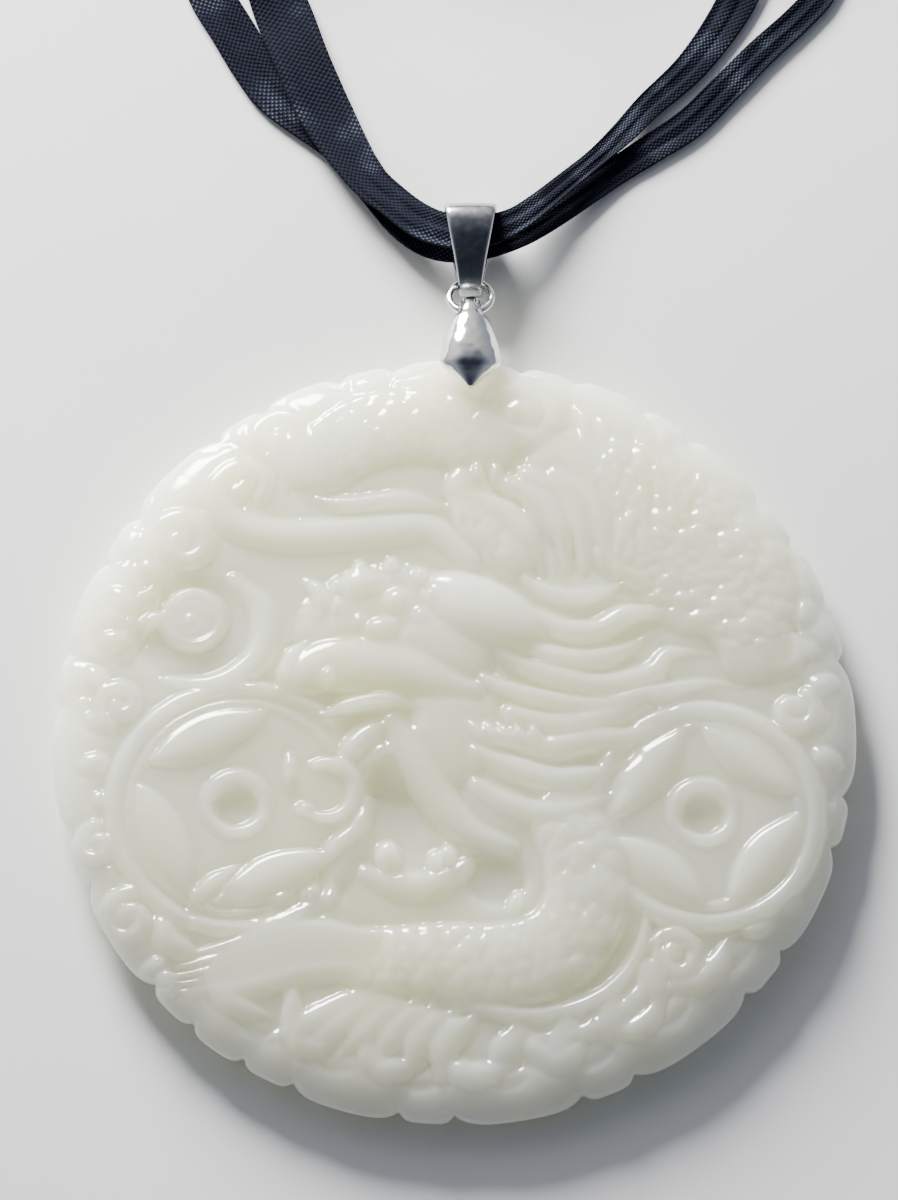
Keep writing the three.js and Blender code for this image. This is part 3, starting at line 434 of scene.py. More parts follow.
    def scales(self, points, half, top, pitch, bump, ends=(0.9, 0.9)):
        """A rounded body that carries rows of overlapping scales."""
        line = catmull(points, 10)
        i = self.near(line, half + MOAT_WIDTH)
        d, t, side, length = self.along(line, i)
        first = ends[0] + (1 - ends[0]) * smooth(t / 0.3)
        last = ends[1] + (1 - ends[1]) * smooth((1 - t) / 0.3)
        w = half * first * last
        self.place(i, d, w, top, 0.4, MOAT)
        s, v = t * length, side * d
        reach, row_gap = 0.62 * pitch, 0.86 * pitch
        best = np.zeros(len(i))
        row = np.floor(v / row_gap)
        for dr in (-1, 0, 1):
            r = row + dr
            shift = np.where(r % 2 == 0, 0.0, 0.5) * pitch
            col = np.floor((s - shift) / pitch)
            for dc in (-1, 0, 1, 2):
                c = col + dc
                uneven = np.sin(12.9898 * r + 78.233 * c)
                ds = s - c * pitch - shift - 0.16 * pitch * np.sin(9.1 * uneven)
                dv = v - (r + 0.5) * row_gap - 0.14 * pitch * np.cos(17.3 * uneven)
                size = reach * (0.9 + 0.16 * uneven)
                dome = np.clip(1 - (ds**2 + dv**2) / size**2, 0, 1) ** 0.6
                best = np.maximum(best, dome * (0.8 + 0.2 * ds / reach) * (0.85 + 0.3 * np.abs(uneven)))
        inside = (d < w) & (t > 0) & (t < 1)
        self.h[i] += np.where(inside, bump * best * smooth((w - d) / 0.5) - bump * 0.35, 0)


def carve_rim(r):
    edges = lobe_edges()
    for start, end in zip(edges, edges[1:] + [edges[0] + 360]):
        middle, half = (start + end) / 2, (end - start) / 2
        crisp = float(np.clip((math.sin(math.radians(middle)) + 0.5) / 0.9, 0.35, 1))
        if half < SMALL_LOBE_HALF_DEG + 0.5:
            x, y = polar(0, 0, 28.2, middle)
            r.mound(x, y, 1.6, 1.3, middle, 0.6 * crisp, moat=0.2 * crisp)
        else:
            arc = [polar(0, 0, 27.5, middle + half * q) for q in (-0.9, -0.45, 0, 0.45, 0.9)]
            r.band(arc, 2.2, 0.65 * crisp, (0.5, 0.5), 0.5, 0.2 * crisp)
    for a, b in ((127, 144), (152, 167), (38, 53), (18, 31), (61, 73)):
        r.band([polar(0, 0, 25.2, q) for q in (a, (a + b) / 2, b)], 1.0, 0.65, (0.4, 0.4))


def carve_waves(r):
    """Low waves and cloud tips that fill the ground beside the rim."""
    for k, a in enumerate(range(214, 326, 14)):
        sway = 1.2 * math.sin(2.1 * k)
        steps = ((24.4 + sway, -3), (26.6, 3), (25.4 + 0.5 * sway, 10))
        r.band([polar(0, 0, out, a + b) for out, b in steps], 1.0, 0.85, (0.5, 0.3), moat=0.28)
        r.groove([polar(0, 0, 26.9, a + 4), polar(0, 0, 27.6, a + 8), polar(0, 0, 27.2, a + 12)], 0.55, 0.42)
    for k, a in enumerate(range(-34, 29, 6)):
        x, y = polar(0, 0, 27.0 + 0.9 * (k % 2), a)
        r.mound(x, y, 1.3, 0.85, a + 55 - 40 * (k % 3), 0.9, moat=0.3)
    for k, a in enumerate(range(150, 212, 7)):
        x, y = polar(0, 0, 26.4 + 0.7 * (k % 2), a)
        r.mound(x, y, 1.3, 0.85, a - 50 + 30 * (k % 3), 0.95, moat=0.3)
    for k, a in enumerate(range(30, 86, 7)):
        x, y = polar(0, 0, 27.2 - 0.8 * (k % 2), a)
        r.mound(x, y, 1.1, 0.8, a + 40, 0.9, moat=0.3)


def carve_coin(r, cx, cy, radius, first_petal, arc):
    top = 0.95
    r.mound(cx, cy, radius, radius, 0, 0.45, crown=0.12, moat=0.15)
    r.hollow(cx, cy, radius - 1.4, radius - 1.4, 0, 0.35, 0.12)
    r.ring(cx, cy, radius - 0.6, 0.7, top, arc)
    r.ring(cx, cy, radius - 1.9, 0.4, top * 0.7, arc, 0.15)
    for k in range(4):
        a = (first_petal + 90 * k) % 360
        if arc[0] <= a <= arc[1]:
            x, y = polar(cx, cy, radius * 0.6, a)
            r.lens(x, y, radius * 0.98, radius * 0.36, a + 90, top)
    r.ring(cx - 0.2, cy + 0.3, 2.2, 0.5, top * 0.85)
    r.hollow(cx - 0.2, cy + 0.1, 1.9, 1.6, 0, 1.1, 0.5)


def carve_clouds(r):
    scrolls = [
        (-24.9, 3.3, 1.75, 220, 1.15, -1), (-20.3, 15.9, 2.6, 195, 1.2, -1),
        (-12.9, 24.7, 2.2, 205, 0.95, -1), (24.4, 7.2, 1.9, 170, 1.2, -1),
        (25.4, 2.8, 1.7, 60, 1.2, -1), (16.4, -16.4, 2.0, 150, 1.2, -1),
        (-24.2, -13.4, 2.1, 80, 1.2, 1), (-26.6, -7.6, 1.6, 90, 1.1, 1),
        (-21.6, -18.2, 1.6, 100, 1.0, 1),
    ]
    for scroll in scrolls:
        r.curl(*scroll)
    r.mound(5.7, 26.2, 4.2, 3.0, -6, 0.75, crown=0.3)
    r.curl(5.6, 25.9, 2.9, 160, 1.3, -1)
    r.band([(6.5, 28.9), (11.2, 27.9), (14.4, 25.0)], 1.3, 0.85, (0.3, 0.6))
    r.band([(2.0, 27.4), (2.8, 25.6), (5.4, 24.6), (8.2, 24.9)], 0.55, 1.0)
    r.band([(9.1, 27.0), (10.0, 25.2), (9.2, 22.8), (8.3, 21.2)], 0.6, 1.1)


def carve_pearl(r):
    r.band([(-16.5, 13.2), (-14.2, 10.6), (-14.6, 7.0), (-17.6, 5.0), (-21.5, 5.2)], 1.05, 0.85, (0.4, 0.4))
    r.hollow(-19.6, 9.2, 4.7, 4.1, 0, 0.95, 0.35)
    r.mound(-19.5, 10.0, 2.5, 2.3, 0, 0.35, crown=0.4, moat=0.1)
    r.ring(-19.5, 10.0, 2.1, 0.36, 0.62, moat=0.2)
    r.mound(-19.7, 9.9, 0.55, 0.55, 0, 0.5, moat=0.2)
    r.band([(-21.4, 10.4), (-22.8, 9.9), (-23.4, 8.5)], 0.5, 0.6)


def carve_body(r):
    r.scales([(-10.2, 22.6), (-6.5, 24.9), (-2.0, 25.4), (2.0, 24.0)], 3.1, 0.85, 1.15, 0.55)
    shoulder = [(10.0, 20.2), (14.4, 18.0), (18.6, 14.8), (21.6, 11.0), (22.6, 7.6)]
    r.scales(shoulder, 5.6, 0.85, 1.15, 0.75, (0.9, 0.5))
    r.scales([(1.0, 20.4), (2.2, 17.4), (4.6, 14.6)], 1.9, 0.9, 1.1, 0.4)
    lower = [
        (-6.5, -16.6), (-2.0, -16.9), (3.0, -17.2), (7.4, -16.0), (9.8, -12.8), (9.7, -9.3), (8.4, -6.0),
    ]
    r.scales(lower, 3.3, 1.1, 1.35, 0.6, (0.75, 0.85))
    fin = [
        (-3.0, -19.5), (2.0, -20.6), (6.5, -20.9), (10.8, -19.5), (13.4, -16.6), (14.2, -13.2), (12.9, -9.2),
    ]
    r.band(fin, 0.55, 0.95)
    r.band([(15.2, -14.6), (14.6, -18.0), (11.6, -21.3), (7.6, -22.5), (3.5, -22.6)], 0.75, 0.8)
    for q in range(5):
        a = -105 + 17 * q
        spine = [polar(4.2, -9.6, 12.8, a), polar(4.2, -9.6, 15.2, a - 7)]
        r.band(spine, 1.1, 0.6, (0.8, 0.3), moat=0.15)
    r.hollow(4.8, -24.6, 2.4, 0.9, 4, 0.4)


def carve_tail(r):
    for q in range(5):
        f = q / 4
        lock = [
            (-5.8, -15.0 - 2.4 * f), (-11.0, -14.4 - 3.2 * f),
            (-15.5, -15.4 - 3.4 * f), (-20.5, -16.4 - 2.6 * f),
        ]
        r.band(lock, 0.85, 0.95 - 0.1 * f, (0.6, 0.2), moat=0.25)
    for q in range(6):
        f = q / 5
        flame = [
            (-5.6 + 7.0 * f, -19.2 - 2.0 * f), (-9.6 + 9.0 * f, -21.0 - 2.0 * f),
            (-13.6 + 12.6 * f, -22.6 - 3.4 * f),
        ]
        r.band(flame, 1.15, 0.85, (0.4, 0.2), moat=0.25)


def carve_horns(r):
    horn = [
        (1.2, 14.4), (-1.6, 17.0), (-5.0, 16.9), (-9.0, 16.6), (-13.0, 16.5),
        (-16.6, 17.6), (-18.0, 20.0), (-16.4, 22.0), (-14.2, 21.3), (-14.4, 19.6),
    ]
    r.band(horn, 1.3, 1.1, (0.6, 0.45))
    r.band([(-0.6, 18.7), (-4.0, 19.4), (-8.0, 19.0), (-12.2, 19.9)], 0.7, 0.95)
    for lock in (
        [(1.6, 19.6), (4.0, 18.2), (5.6, 16.2), (6.6, 13.6)],
        [(3.6, 20.8), (6.4, 19.6), (8.0, 17.0), (8.4, 13.8)],
        [(5.4, 21.4), (8.2, 20.2), (9.6, 17.2), (9.7, 13.8)],
        [(7.6, 21.4), (10.2, 19.4), (11.2, 16.6), (11.1, 14.0)],
    ):
        r.band(lock, 0.95, 0.95, (0.7, 0.3))
    for x in (1.7, 3.1):
        r.band([(x, 22.3), (x + 0.1, 20.2)], 0.45, 1.1)


# Locks of the mane: half width, then the points of the line
MANE = [
    (0.6, (5.4, 12.9), (8.2, 11.6), (10.8, 11.9), (13.2, 13.0)),
    (0.9, (5.6, 10.4), (8.4, 9.0), (10.8, 9.0), (13.2, 10.3), (17.4, 10.4)),
    (0.9, (4.6, 8.4), (7.4, 6.9), (10.2, 6.6), (13.0, 7.5), (14.9, 8.8)),
    (0.95, (3.6, 6.9), (7.0, 5.4), (11.0, 4.6), (14.6, 5.6), (16.2, 7.3), (19.6, 7.1)),
    (0.8, (2.2, 5.0), (6.4, 3.6), (10.6, 2.9), (14.6, 3.9), (18.6, 4.9), (21.8, 4.6)),
    (1.1, (4.2, 2.4), (8.0, 1.3), (11.4, 2.0), (14.0, 3.1), (16.0, 2.8)),
    (0.95, (3.6, 0.6), (7.0, -0.3), (10.2, 0.3), (13.4, 0.6), (17.2, 1.9)),
    (1.0, (1.6, -0.6), (4.4, -1.9), (7.8, -2.8), (11.2, -2.1), (13.6, -0.9)),
    (0.9, (1.6, -3.2), (4.4, -4.8), (7.6, -5.4), (10.9, -4.4), (12.6, -3.4)),
]


def carve_head(r):
    r.mound(-4.2, 8.6, 7.6, 5.6, -6, 1.15, crown=0.45)
    r.mound(-3.0, 1.0, 6.4, 5.2, 0, 0.9, moat=0.1)
    for half, *lock in MANE:
        r.band(lock, half, 1.25, (0.6, 0.08), moat=0.2)
    for q in range(5):
        hair = [(1.0 + 1.1 * q, 1.9 - 0.1 * q), (1.9 + 1.1 * q, 0.7 - 0.1 * q), (3.0 + q, -0.5 + 0.05 * q)]
        r.band(hair, 0.36, 1.4, moat=0.2)
    # Ear, curls of the brow, eye and cheek
    r.mound(2.3, 10.4, 5.0, 2.5, -27, 2.2)
    for k in range(9):
        a = math.radians(40 * k)
        r.mound(-5.3 + 3.6 * math.cos(a), 11.6 + 2.5 * math.sin(a), 0.62, 0.62, 0, 1.75, moat=0.2)
    r.mound(-7.0, 12.5, 1.5, 1.35, 0, 1.95)
    r.mound(-5.4, 9.0, 1.6, 0.9, 15, 1.9)
    r.mound(-4.2, 11.2, 1.2, 1.0, 15, 1.8)
    r.band([(-11.4, 12.9), (-10.1, 12.0), (-9.8, 10.4), (-10.0, 9.2)], 0.5, 1.6)
    # Snout and nose
    r.band([(-11.3, 5.7), (-8.6, 6.3), (-5.0, 5.9), (-1.5, 5.0), (1.6, 4.2)], 2.2, 1.6, (0.85, 0.3))
    r.groove([(-7.2, 4.7), (-4.4, 4.6), (-1.8, 3.7)], 0.6, 0.5)
    r.mound(-9.4, 5.2, 0.75, 0.6, 60, 2.2, moat=0.3)
    r.band([(-12.9, 4.0), (-12.7, 5.6), (-12.0, 7.2), (-10.6, 8.2)], 0.5, 1.8)
    # Open mouth with its tongue, lips, jaw and teeth
    r.hollow(-5.6, 1.4, 3.6, 1.6, 20, 0.7, 0.6)
    r.hollow(-3.6, -5.4, 2.9, 4.6, 14, 1.2, 0.6)
    r.band([(-8.4, -1.4), (-6.6, 0.5), (-4.6, 1.6)], 0.95, 1.3, (0.6, 0.6))
    r.band([(-4.6, 1.7), (-3.2, -0.8), (-1.4, -4.0), (0.8, -6.6), (4.4, -8.0)], 1.35, 1.1, (0.7, 0.4))
    r.band([(-10.0, 2.2), (-7.6, 3.0), (-5.0, 3.4), (-3.5, 2.8), (-2.9, 1.6)], 0.6, 1.8)
    r.band([(0.8, -9.6), (-1.6, -10.9), (-4.4, -11.0), (-6.6, -10.0)], 1.2, 0.85, (0.6, 0.5))
    r.mound(-4.9, -8.7, 0.95, 1.2, 0, 1.5)
    r.mound(-1.4, -9.0, 0.6, 0.8, -20, 1.5)
    r.mound(-0.5, -8.7, 0.6, 0.8, 20, 1.5)
    r.hollow(3.1, -10.5, 2.4, 2.0, 0, 1.0, 0.2)
    r.mound(4.5, -12.3, 0.5, 0.9, -20, 1.0)
    # Whisker that curls before the mouth, and strokes over the left coin
    r.ring(-9.5, -3.6, 2.15, 0.55, 1.3, arc=(120, -130))
    r.band([(-6.4, -4.2), (-7.2, -6.6), (-9.0, -8.2), (-10.4, -10.4)], 0.7, 1.25)
    r.band([(-12.3, -0.6), (-12.1, -4.2)], 0.4, 1.0)
    r.mound(-11.1, -5.1, 0.6, 0.6, 0, 1.2)
    for x, y in ((-12.8, -12.0), (-10.6, -11.5), (-9.2, -12.0)):
        r.mound(x, y, 0.8, 0.45, 25, 1.0)
    r.band([(-19.8, -13.2), (-18.4, -11.0), (-15.6, -9.2)], 0.55, 1.05)
    r.hollow(-16.6, -11.9, 1.4, 1.0, 30, 0.6)


def face_heights(x, y, inset):
    r = Relief(x, y)
    carve_rim(r)
    carve_waves(r)
    r.y += CARVING_DROP
    carve_coin(r, -16.0, -4.9, 10.0, 114, (35, 318))
    carve_coin(r, 18.7, -5.5, 8.9, 53, (0, 360))
    for carve in (carve_clouds, carve_pearl, carve_body, carve_tail, carve_horns, carve_head):
        carve(r)
    seat = SEAT_Z + np.maximum(0, np.hypot(x - HANG_X, np.minimum(y - HOLE_Y, 0)) - SEAT_RADIUS)
    top = np.minimum(r.ground + RELIEF_SHARE * (r.h - r.ground), seat)
    rim = np.clip(1 - inset / RIM_WIDTH, 0, 1)
    return EDGE_Z + (top - EDGE_Z) * np.sqrt(1 - rim**2)


def softened(grid, passes):
    """Evens out heights inside the border with their four neighbours, as polishing does."""
    g = grid.copy()
    for _ in range(passes):
        around = g[:-2, 1:-1] + g[2:, 1:-1] + g[1:-1, :-2] + g[1:-1, 2:]
        g[1:-1, 1:-1] = g[1:-1, 1:-1] / 2 + around / 8
    return g


def make_disc():
    n = DISC_GRID + 1
    line = np.linspace(-1, 1, n)
    a, b = np.meshgrid(line, line, indexing="xy")
    flat = np.abs(a) > np.abs(b)
    signed = np.where(flat, a, b)
    safe = np.where(signed == 0, 1, signed)
    degrees = np.where(flat, 45 * b / safe, 90 - 45 * a / safe) + np.where(signed < 0, 180, 0)
    share = np.abs(signed)
    full = NOTCH_RADIUS + LOBE_RISE
    quarter = RIM_WIDTH * math.pi / 2
    rim_share = quarter / (full - RIM_WIDTH + quarter)
    turn = np.maximum(0, share - 1 + rim_share) / rim_share * (math.pi / 2)
    inner = np.minimum(share, 1 - rim_share) / (1 - rim_share) * (full - RIM_WIDTH)
    inset = full - inner - RIM_WIDTH * np.sin(turn)
    bite = (full - outline_radius(degrees)) * smooth((turn / (math.pi / 2) - NOTCH_START) / (1 - NOTCH_START))
    r = full - inset - bite
    x, y = r * np.cos(np.radians(degrees)), r * np.sin(np.radians(degrees))
    z = face_heights(x.ravel(), y.ravel(), inset.ravel()).reshape(n, n)
    z = softened(z, POLISH_PASSES)
    index = np.arange(n * n).reshape(n, n)
    face = np.stack([index[:-1, :-1], index[:-1, 1:], index[1:, 1:], index[1:, :-1]], -1).reshape(-1, 4)
    border = np.concatenate([index[0, :-1], index[:-1, -1], index[-1, :0:-1], index[:0:-1, 0]])
    top = np.stack([x.ravel(), y.ravel(), z.ravel()], 1)
    rim = top[border]
    length = np.hypot(rim[:, 0], rim[:, 1])[:, None]
    rows = [top]
    for pull, down in UNDERSIDE:
        ring = rim * np.array([1, 1, 0]) * (1 - pull / length)
        ring[:, 2] = EDGE_Z - down
        rows.append(ring)
    rows.append(np.zeros((1, 3)))
    vertices = np.concatenate(rows)
    count = len(border)
    rings = [border] + [n * n + k * count + np.arange(count) for k in range(len(UNDERSIDE))]
    faces = face.tolist()
    for outer, inner_ring in zip(rings, rings[1:]):
        quads = np.stack([outer, inner_ring, np.roll(inner_ring, -1), np.roll(outer, -1)], 1)
        faces += quads.tolist()
    middle = len(vertices) - 1
    last = rings[-1]
    faces += np.stack([last, np.full(count, middle), np.roll(last, -1)], 1).tolist()
    obj = make_mesh("jade_disc_carved", vertices, faces)
    keep(obj, "jade", "jade_disc")
    return obj


# Fittings


def closed_curve(points, steps):
    """A smooth closed curve through rows of numbers."""
    p = np.asarray(points, float)
    count = len(p)
    at = np.linspace(0, count, steps, endpoint=False)
    k = at.astype(int)
    t = (at - k)[:, None]
    a, b, c, d = (p[(k + o) % count] for o in (-1, 0, 1, 2))
    cubic = (3 * b - a - 3 * c + d) * t**3
    square = (2 * a - 5 * b + 4 * c - d) * t**2
    return 0.5 * (2 * b + (c - a) * t + square + cubic)


def bent_sheet(name, stations, steps, closed, ridge):
    """A bent metal strip: stations of y, z and half width seen from the side, bowed at the front."""
    if closed:
        line = closed_curve(stations, steps)
        along = np.roll(line, -1, 0) - np.roll(line, 1, 0)
    else:
        line = catmull(stations, steps)
        along = np.gradient(line, axis=0)
    y, z, half = line.T
    norm = np.hypot(along[:, 0], along[:, 1])
    out_y, out_z = -along[:, 1] / norm, along[:, 0] / norm
    face, bevel = SHEET / 2, SHEET * 0.3
    section = [(-1, 0.0, face - bevel)]
    for u in np.linspace(-1, 1, SHEET_COLUMNS):
        inset = bevel if abs(u) == 1 else 0.0
        section.append((u, -np.sign(u) * inset, face))
    section += [(1, 0.0, face - bevel), (1, 0.0, -face + bevel)]
    for u in np.linspace(1, -1, SHEET_COLUMNS):
        inset = bevel if abs(u) == 1 else 0.0
        section.append((u, -np.sign(u) * inset, -face))
    section.append((-1, 0.0, -face + bevel))
    bow = ridge * half * smooth((z - BOW_FROM_Z) / BOW_FADE)
    rows = []
    for u, shift, lift in section:
        rise = lift - bow * (1 - abs(u) ** 2.6)
        rows.append(np.stack([HANG_X + half * u + shift, y + out_y * rise, z + out_z * rise], 1))
    ring = np.stack(rows, 1)
    count, size = ring.shape[:2]
    faces = []
    for k in range(count if closed else count - 1):
        m = (k + 1) % count
        for s in range(size):
            e = (s + 1) % size
            faces.append((k * size + s, k * size + e, m * size + e, m * size + s))
    if not closed:
        faces.append(tuple(range(size))[::-1])
        faces.append(tuple((count - 1) * size + s for s in range(size)))
    return make_mesh(name, ring.reshape(-1, 3), faces)


def torus(name, centre, radius, wire, tilt, around=64, section=16):
    """A wire ring that lies flat and is then tilted about the X axis."""
    cos, sin = math.cos(math.radians(tilt)), math.sin(math.radians(tilt))
    vertices, faces = [], []
    for i in range(around):
        a = 2 * math.pi * i / around
        for j in range(section):
            b = 2 * math.pi * j / section
            r = radius + wire * math.cos(b)
            x, y, z = r * math.cos(a), r * math.sin(a), wire * math.sin(b)
            vertices.append((centre[0] + x, centre[1] + y * cos - z * sin, centre[2] + y * sin + z * cos))
            n, m = (i + 1) % around, (j + 1) % section
            faces.append((i * section + j, n * section + j, n * section + m, i * section + m))
    return make_mesh(name, vertices, faces)


# Stations of the bent sheets: y, z and half width
CAP_STATIONS = [
    (27, 0.42, 0.2), (28.3, 0.42, 1.3), (29.1, 0.42, 1.95), (30.6, 0.6, 1.75), (32, 1.2, 1.35),
    (33.2, 2.1, 1), (33.75, 2.42, 0.85), (34.35, 3.18, 0.8), (33.75, 3.94, 0.68),
    (33.1, 4.1, 1.05), (32.4, 4.24, 1.46), (31, 4.44, 1.95), (29.7, 4.57, 2.24), (28.9, 4.62, 2.24),
    (28.3, 4.62, 1.7), (27.8, 4.61, 1.05), (27.05, 4.58, 0.2),
]
BAIL_STATIONS = [
    (35.5, 1.85, 0.88), (36.1, 1.04, 0.95), (38, 0.72, 1.25), (40.2, 0.5, 1.65), (41.6, 1.2, 1.9),
    (42.2, 2.7, 2), (41.5, 4, 1.9), (40, 4.15, 1.65), (38, 3.6, 1.25), (36.3, 2.82, 0.95),
]


def make_fittings():
    cap = bent_sheet("pinch_cap_folded", CAP_STATIONS, 8, False, CAP_BOW)
    keep(cap, "metal", "pinch_cap")
    ring = torus("jump_ring_wire", (HANG_X, RING_Y, RING_Z), RING_RADIUS, RING_WIRE, RING_TILT_DEG)
    keep(ring, "metal", "jump_ring")
    bail = bent_sheet("bail_folded", BAIL_STATIONS, 120, True, BAIL_BOW)
    keep(bail, "metal", "bail")
    return [cap, ring, bail]


# Materials


def new_material(name):
    material = bpy.data.materials.new(name)
    material.use_nodes = True
    tree = material.node_tree
    return material, tree, tree.nodes["Principled BSDF"]


def ramp(tree, source, stops):
    node = tree.nodes.new("ShaderNodeValToRGB")
    elements = node.color_ramp.elements
    while len(elements) < len(stops):
        elements.new(0.5)
    for element, (at, colour) in zip(elements, stops):
        element.position = at
        element.color = (*colour, 1)
    tree.links.new(source, node.inputs["Fac"])
    return node.outputs["Color"]


def span(tree, source, low, high, out_low, out_high):
    node = tree.nodes.new("ShaderNodeMapRange")
    for key, value in (("From Min", low), ("From Max", high), ("To Min", out_low), ("To Max", out_high)):
        node.inputs[key].default_value = value
    tree.links.new(source, node.inputs["Value"])
    return node.outputs["Result"]


def noise(tree, scale, detail):
    place = tree.nodes.new("ShaderNodeTexCoord")
    node = tree.nodes.new("ShaderNodeTexNoise")
    node.inputs["Scale"].default_value = scale
    node.inputs["Detail"].default_value = detail
    tree.links.new(place.outputs["Object"], node.inputs["Vector"])
    return node.outputs["Fac"]


def bump(tree, shader, height, strength, distance):
    node = tree.nodes.new("ShaderNodeBump")
    node.inputs["Strength"].default_value = strength
    node.inputs["Distance"].default_value = distance
    tree.links.new(height, node.inputs["Height"])
    tree.links.new(node.outputs["Normal"], shader.inputs["Normal"])


def multiply(tree, first, second):
    node = tree.nodes.new("ShaderNodeMix")
    node.data_type = "RGBA"
    node.blend_type = "MULTIPLY"
    node.inputs["Factor"].default_value = 1.0
    tree.links.new(first, node.inputs["A"])
    tree.links.new(second, node.inputs["B"])
    return node.outputs["Result"]


def jade_material():
    """Milky translucent stone with a high polish."""
    material, tree, shader = new_material("jade")
    stone = [(0.3, (0.84, 0.84, 0.48)), (0.55, (0.87, 0.87, 0.55)), (0.8, (0.89, 0.89, 0.62))]
    tree.links.new(ramp(tree, noise(tree, 110, 4), stone), shader.inputs["Base Color"])
    tree.links.new(span(tree, noise(tree, 700, 3), 0.3, 0.7, 0.1, 0.2), shader.inputs["Roughness"])
    bump(tree, shader, noise(tree, 1800, 3), 0.12, 0.00008)
    shader.inputs["IOR"].default_value = 1.6
    shader.inputs["Subsurface Weight"].default_value = 1.0
    shader.inputs["Subsurface Radius"].default_value = (1.0, 0.97, 0.8)
    shader.inputs["Subsurface Scale"].default_value = STONE_SCATTER
    return material


def metal_material(name, tone, smoothest, roughest, waves):
    """Plated metal whose thin sheet is a little uneven."""
    material, tree, shader = new_material(name)
    shader.inputs["Metallic"].default_value = 1.0
    pale = tuple(1.08 * c for c in tone)
    tree.links.new(ramp(tree, noise(tree, 500, 2), [(0.3, tone), (0.7, pale)]), shader.inputs["Base Color"])
    polish = span(tree, noise(tree, 2200, 4), 0.3, 0.7, smoothest, roughest)
    tree.links.new(polish, shader.inputs["Roughness"])
    bump(tree, shader, noise(tree, 420, 2), waves, 0.0006)
    return material


def gauze_material():
    """Dark woven gauze with a paler thread pattern and dotted selvedges."""
    material, tree, shader = new_material("gauze")
    uv = tree.nodes.new("ShaderNodeUVMap")
    uv.uv_map = "ribbon"
    parts = tree.nodes.new("ShaderNodeSeparateXYZ")
    tree.links.new(uv.outputs["UV"], parts.inputs["Vector"])

    def combine(operation, first, second):
        node = tree.nodes.new("ShaderNodeMath")
        node.operation = operation
        for socket, value in zip(node.inputs, (first, second)):
            if isinstance(value, (int, float)):
                socket.default_value = value
            else:
                tree.links.new(value, socket)
        return node.outputs[0]

    def wave(source, period):
        return combine("SINE", combine("MULTIPLY", source, 2 * math.pi / (period * MM)), 0)

    along, across = parts.outputs["X"], parts.outputs["Y"]
    threads = combine("MULTIPLY", wave(along, THREAD_ALONG), wave(across, THREAD_ACROSS))
    edge = combine("ABSOLUTE", across, 0)
    from_hem = combine("ABSOLUTE", combine("SUBTRACT", edge, SELVEDGE_AT * MM), 0)
    selvedge = span(tree, from_hem, 0.0, SELVEDGE_HALF * MM, 1, 0)
    dots = combine("MULTIPLY", selvedge, span(tree, wave(along, SELVEDGE_DOT), 0.2, 0.9, 0, 0.7))
    weave = span(tree, threads, -1, 1, 0, 1)
    speck = combine("MULTIPLY", weave, span(tree, noise(tree, 260, 4), 0.35, 0.65, 0.1, 1.0))
    light = combine("MAXIMUM", speck, dots)
    cloth = [(0.0, (0.0018, 0.0026, 0.007)), (0.55, (0.0045, 0.006, 0.0145)), (1.0, (0.075, 0.085, 0.115))]
    tree.links.new(ramp(tree, light, cloth), shader.inputs["Base Color"])
    tree.links.new(span(tree, weave, 0, 1, 0.7, 0.9), shader.inputs["Roughness"])
    bump(tree, shader, threads, 0.5, 0.00006)
    shader.inputs["Specular IOR Level"].default_value = 0.07
    shader.inputs["Sheen Weight"].default_value = 0.03
    shader.inputs["Sheen Roughness"].default_value = 0.4
    return material


def floor_material():
    material, tree, shader = new_material("floor")
    tone = ramp(tree, noise(tree, 14, 3), [(0.3, (0.71, 0.72, 0.745)), (0.7, (0.83, 0.835, 0.85))])
    tree.links.new(tone, shader.inputs["Base Color"])
    shader.inputs["Roughness"].default_value = 0.6
    return material


def dress(obj, material):
    obj.data.materials.clear()
    obj.data.materials.append(material)


# Stage


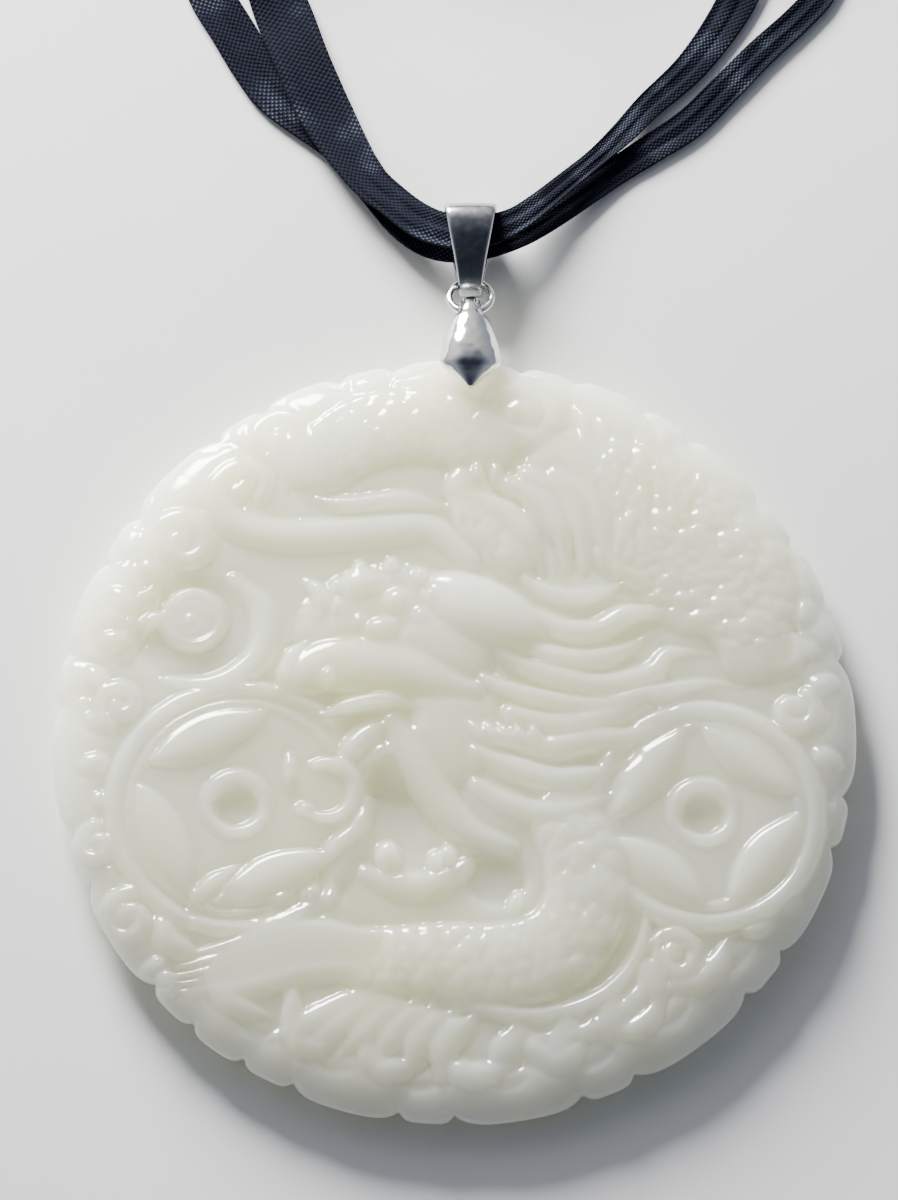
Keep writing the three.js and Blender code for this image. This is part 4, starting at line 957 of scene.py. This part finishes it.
def area_light(name, location, target, size, power, colour):
    data = bpy.data.lights.new(name, "AREA")
    data.shape = "DISK"
    data.size = size
    data.energy = power
    data.color = colour
    light = bpy.data.objects.new(name, data)
    bpy.context.scene.collection.objects.link(light)
    light.location = location
    light.rotation_euler = (Vector(target) - Vector(location)).to_track_quat("-Z", "Y").to_euler()


def make_stage():
    reach = FLOOR_REACH
    corners = [(-reach, -reach, 0), (reach, -reach, 0), (reach, reach, 0), (-reach, reach, 0)]
    floor = make_mesh("floor", corners, [(0, 1, 2, 3)], False)
    dress(floor, floor_material())
    area_light("key", KEY_PLACE, KEY_TARGET, KEY_SIZE, KEY_POWER, KEY_COLOUR)
    world = bpy.data.worlds.new("soft light")
    world.use_nodes = True
    tree = world.node_tree
    background = tree.nodes["Background"]
    place = tree.nodes.new("ShaderNodeTexCoord")

    def facing(direction, stops):
        node = tree.nodes.new("ShaderNodeVectorMath")
        node.operation = "DOT_PRODUCT"
        node.inputs[1].default_value = direction
        tree.links.new(place.outputs["Generated"], node.inputs[0])
        return ramp(tree, node.outputs["Value"], stops)

    e = math.radians(CAMERA_ELEVATION)
    room = [
        (0.0, (0.85, 0.88, 0.95)), (0.5, (1, 1, 1)), (0.72, (0.45, 0.47, 0.52)), (0.98, (0.08, 0.09, 0.12)),
    ]
    window = [(0.0, (0.41, 0.44, 0.51)), (0.5, (0.6, 0.62, 0.68)), (1.0, (1.6, 1.55, 1.5))]
    above = facing((0, -math.cos(e), math.sin(e)), room)
    aside = facing(WINDOW_DIRECTION, window)
    tree.links.new(multiply(tree, above, aside), background.inputs["Color"])
    background.inputs["Strength"].default_value = ROOM_STRENGTH
    bpy.context.scene.world = world


make_camera()
ribbons = make_ribbons()
disc = make_disc()
fittings = make_fittings()
make_stage()

# The cap and ring take a pale copy of the plating whose tone paints a bright window reflection, and the bail,
# crimps and clasp take a dark copy whose tone paints shade; the two copies also differ in roughness.
polished_and_painted_bright = metal_material("polished metal", (0.82, 0.82, 0.8), 0.07, 0.14, 0.35)
brushed_and_painted_dark = metal_material("brushed metal", (0.4, 0.41, 0.43), 0.16, 0.25, 0.06)
gauze = gauze_material()
dress(disc, jade_material())
for obj in fittings + [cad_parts[n] for n in ("crimp_left", "crimp_right", "clasp", "clasp_ring")]:
    dress(obj, polished_and_painted_bright if obj in fittings[:2] else brushed_and_painted_dark)
for obj in ribbons + [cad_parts["coil_tie"]]:
    dress(obj, gauze)
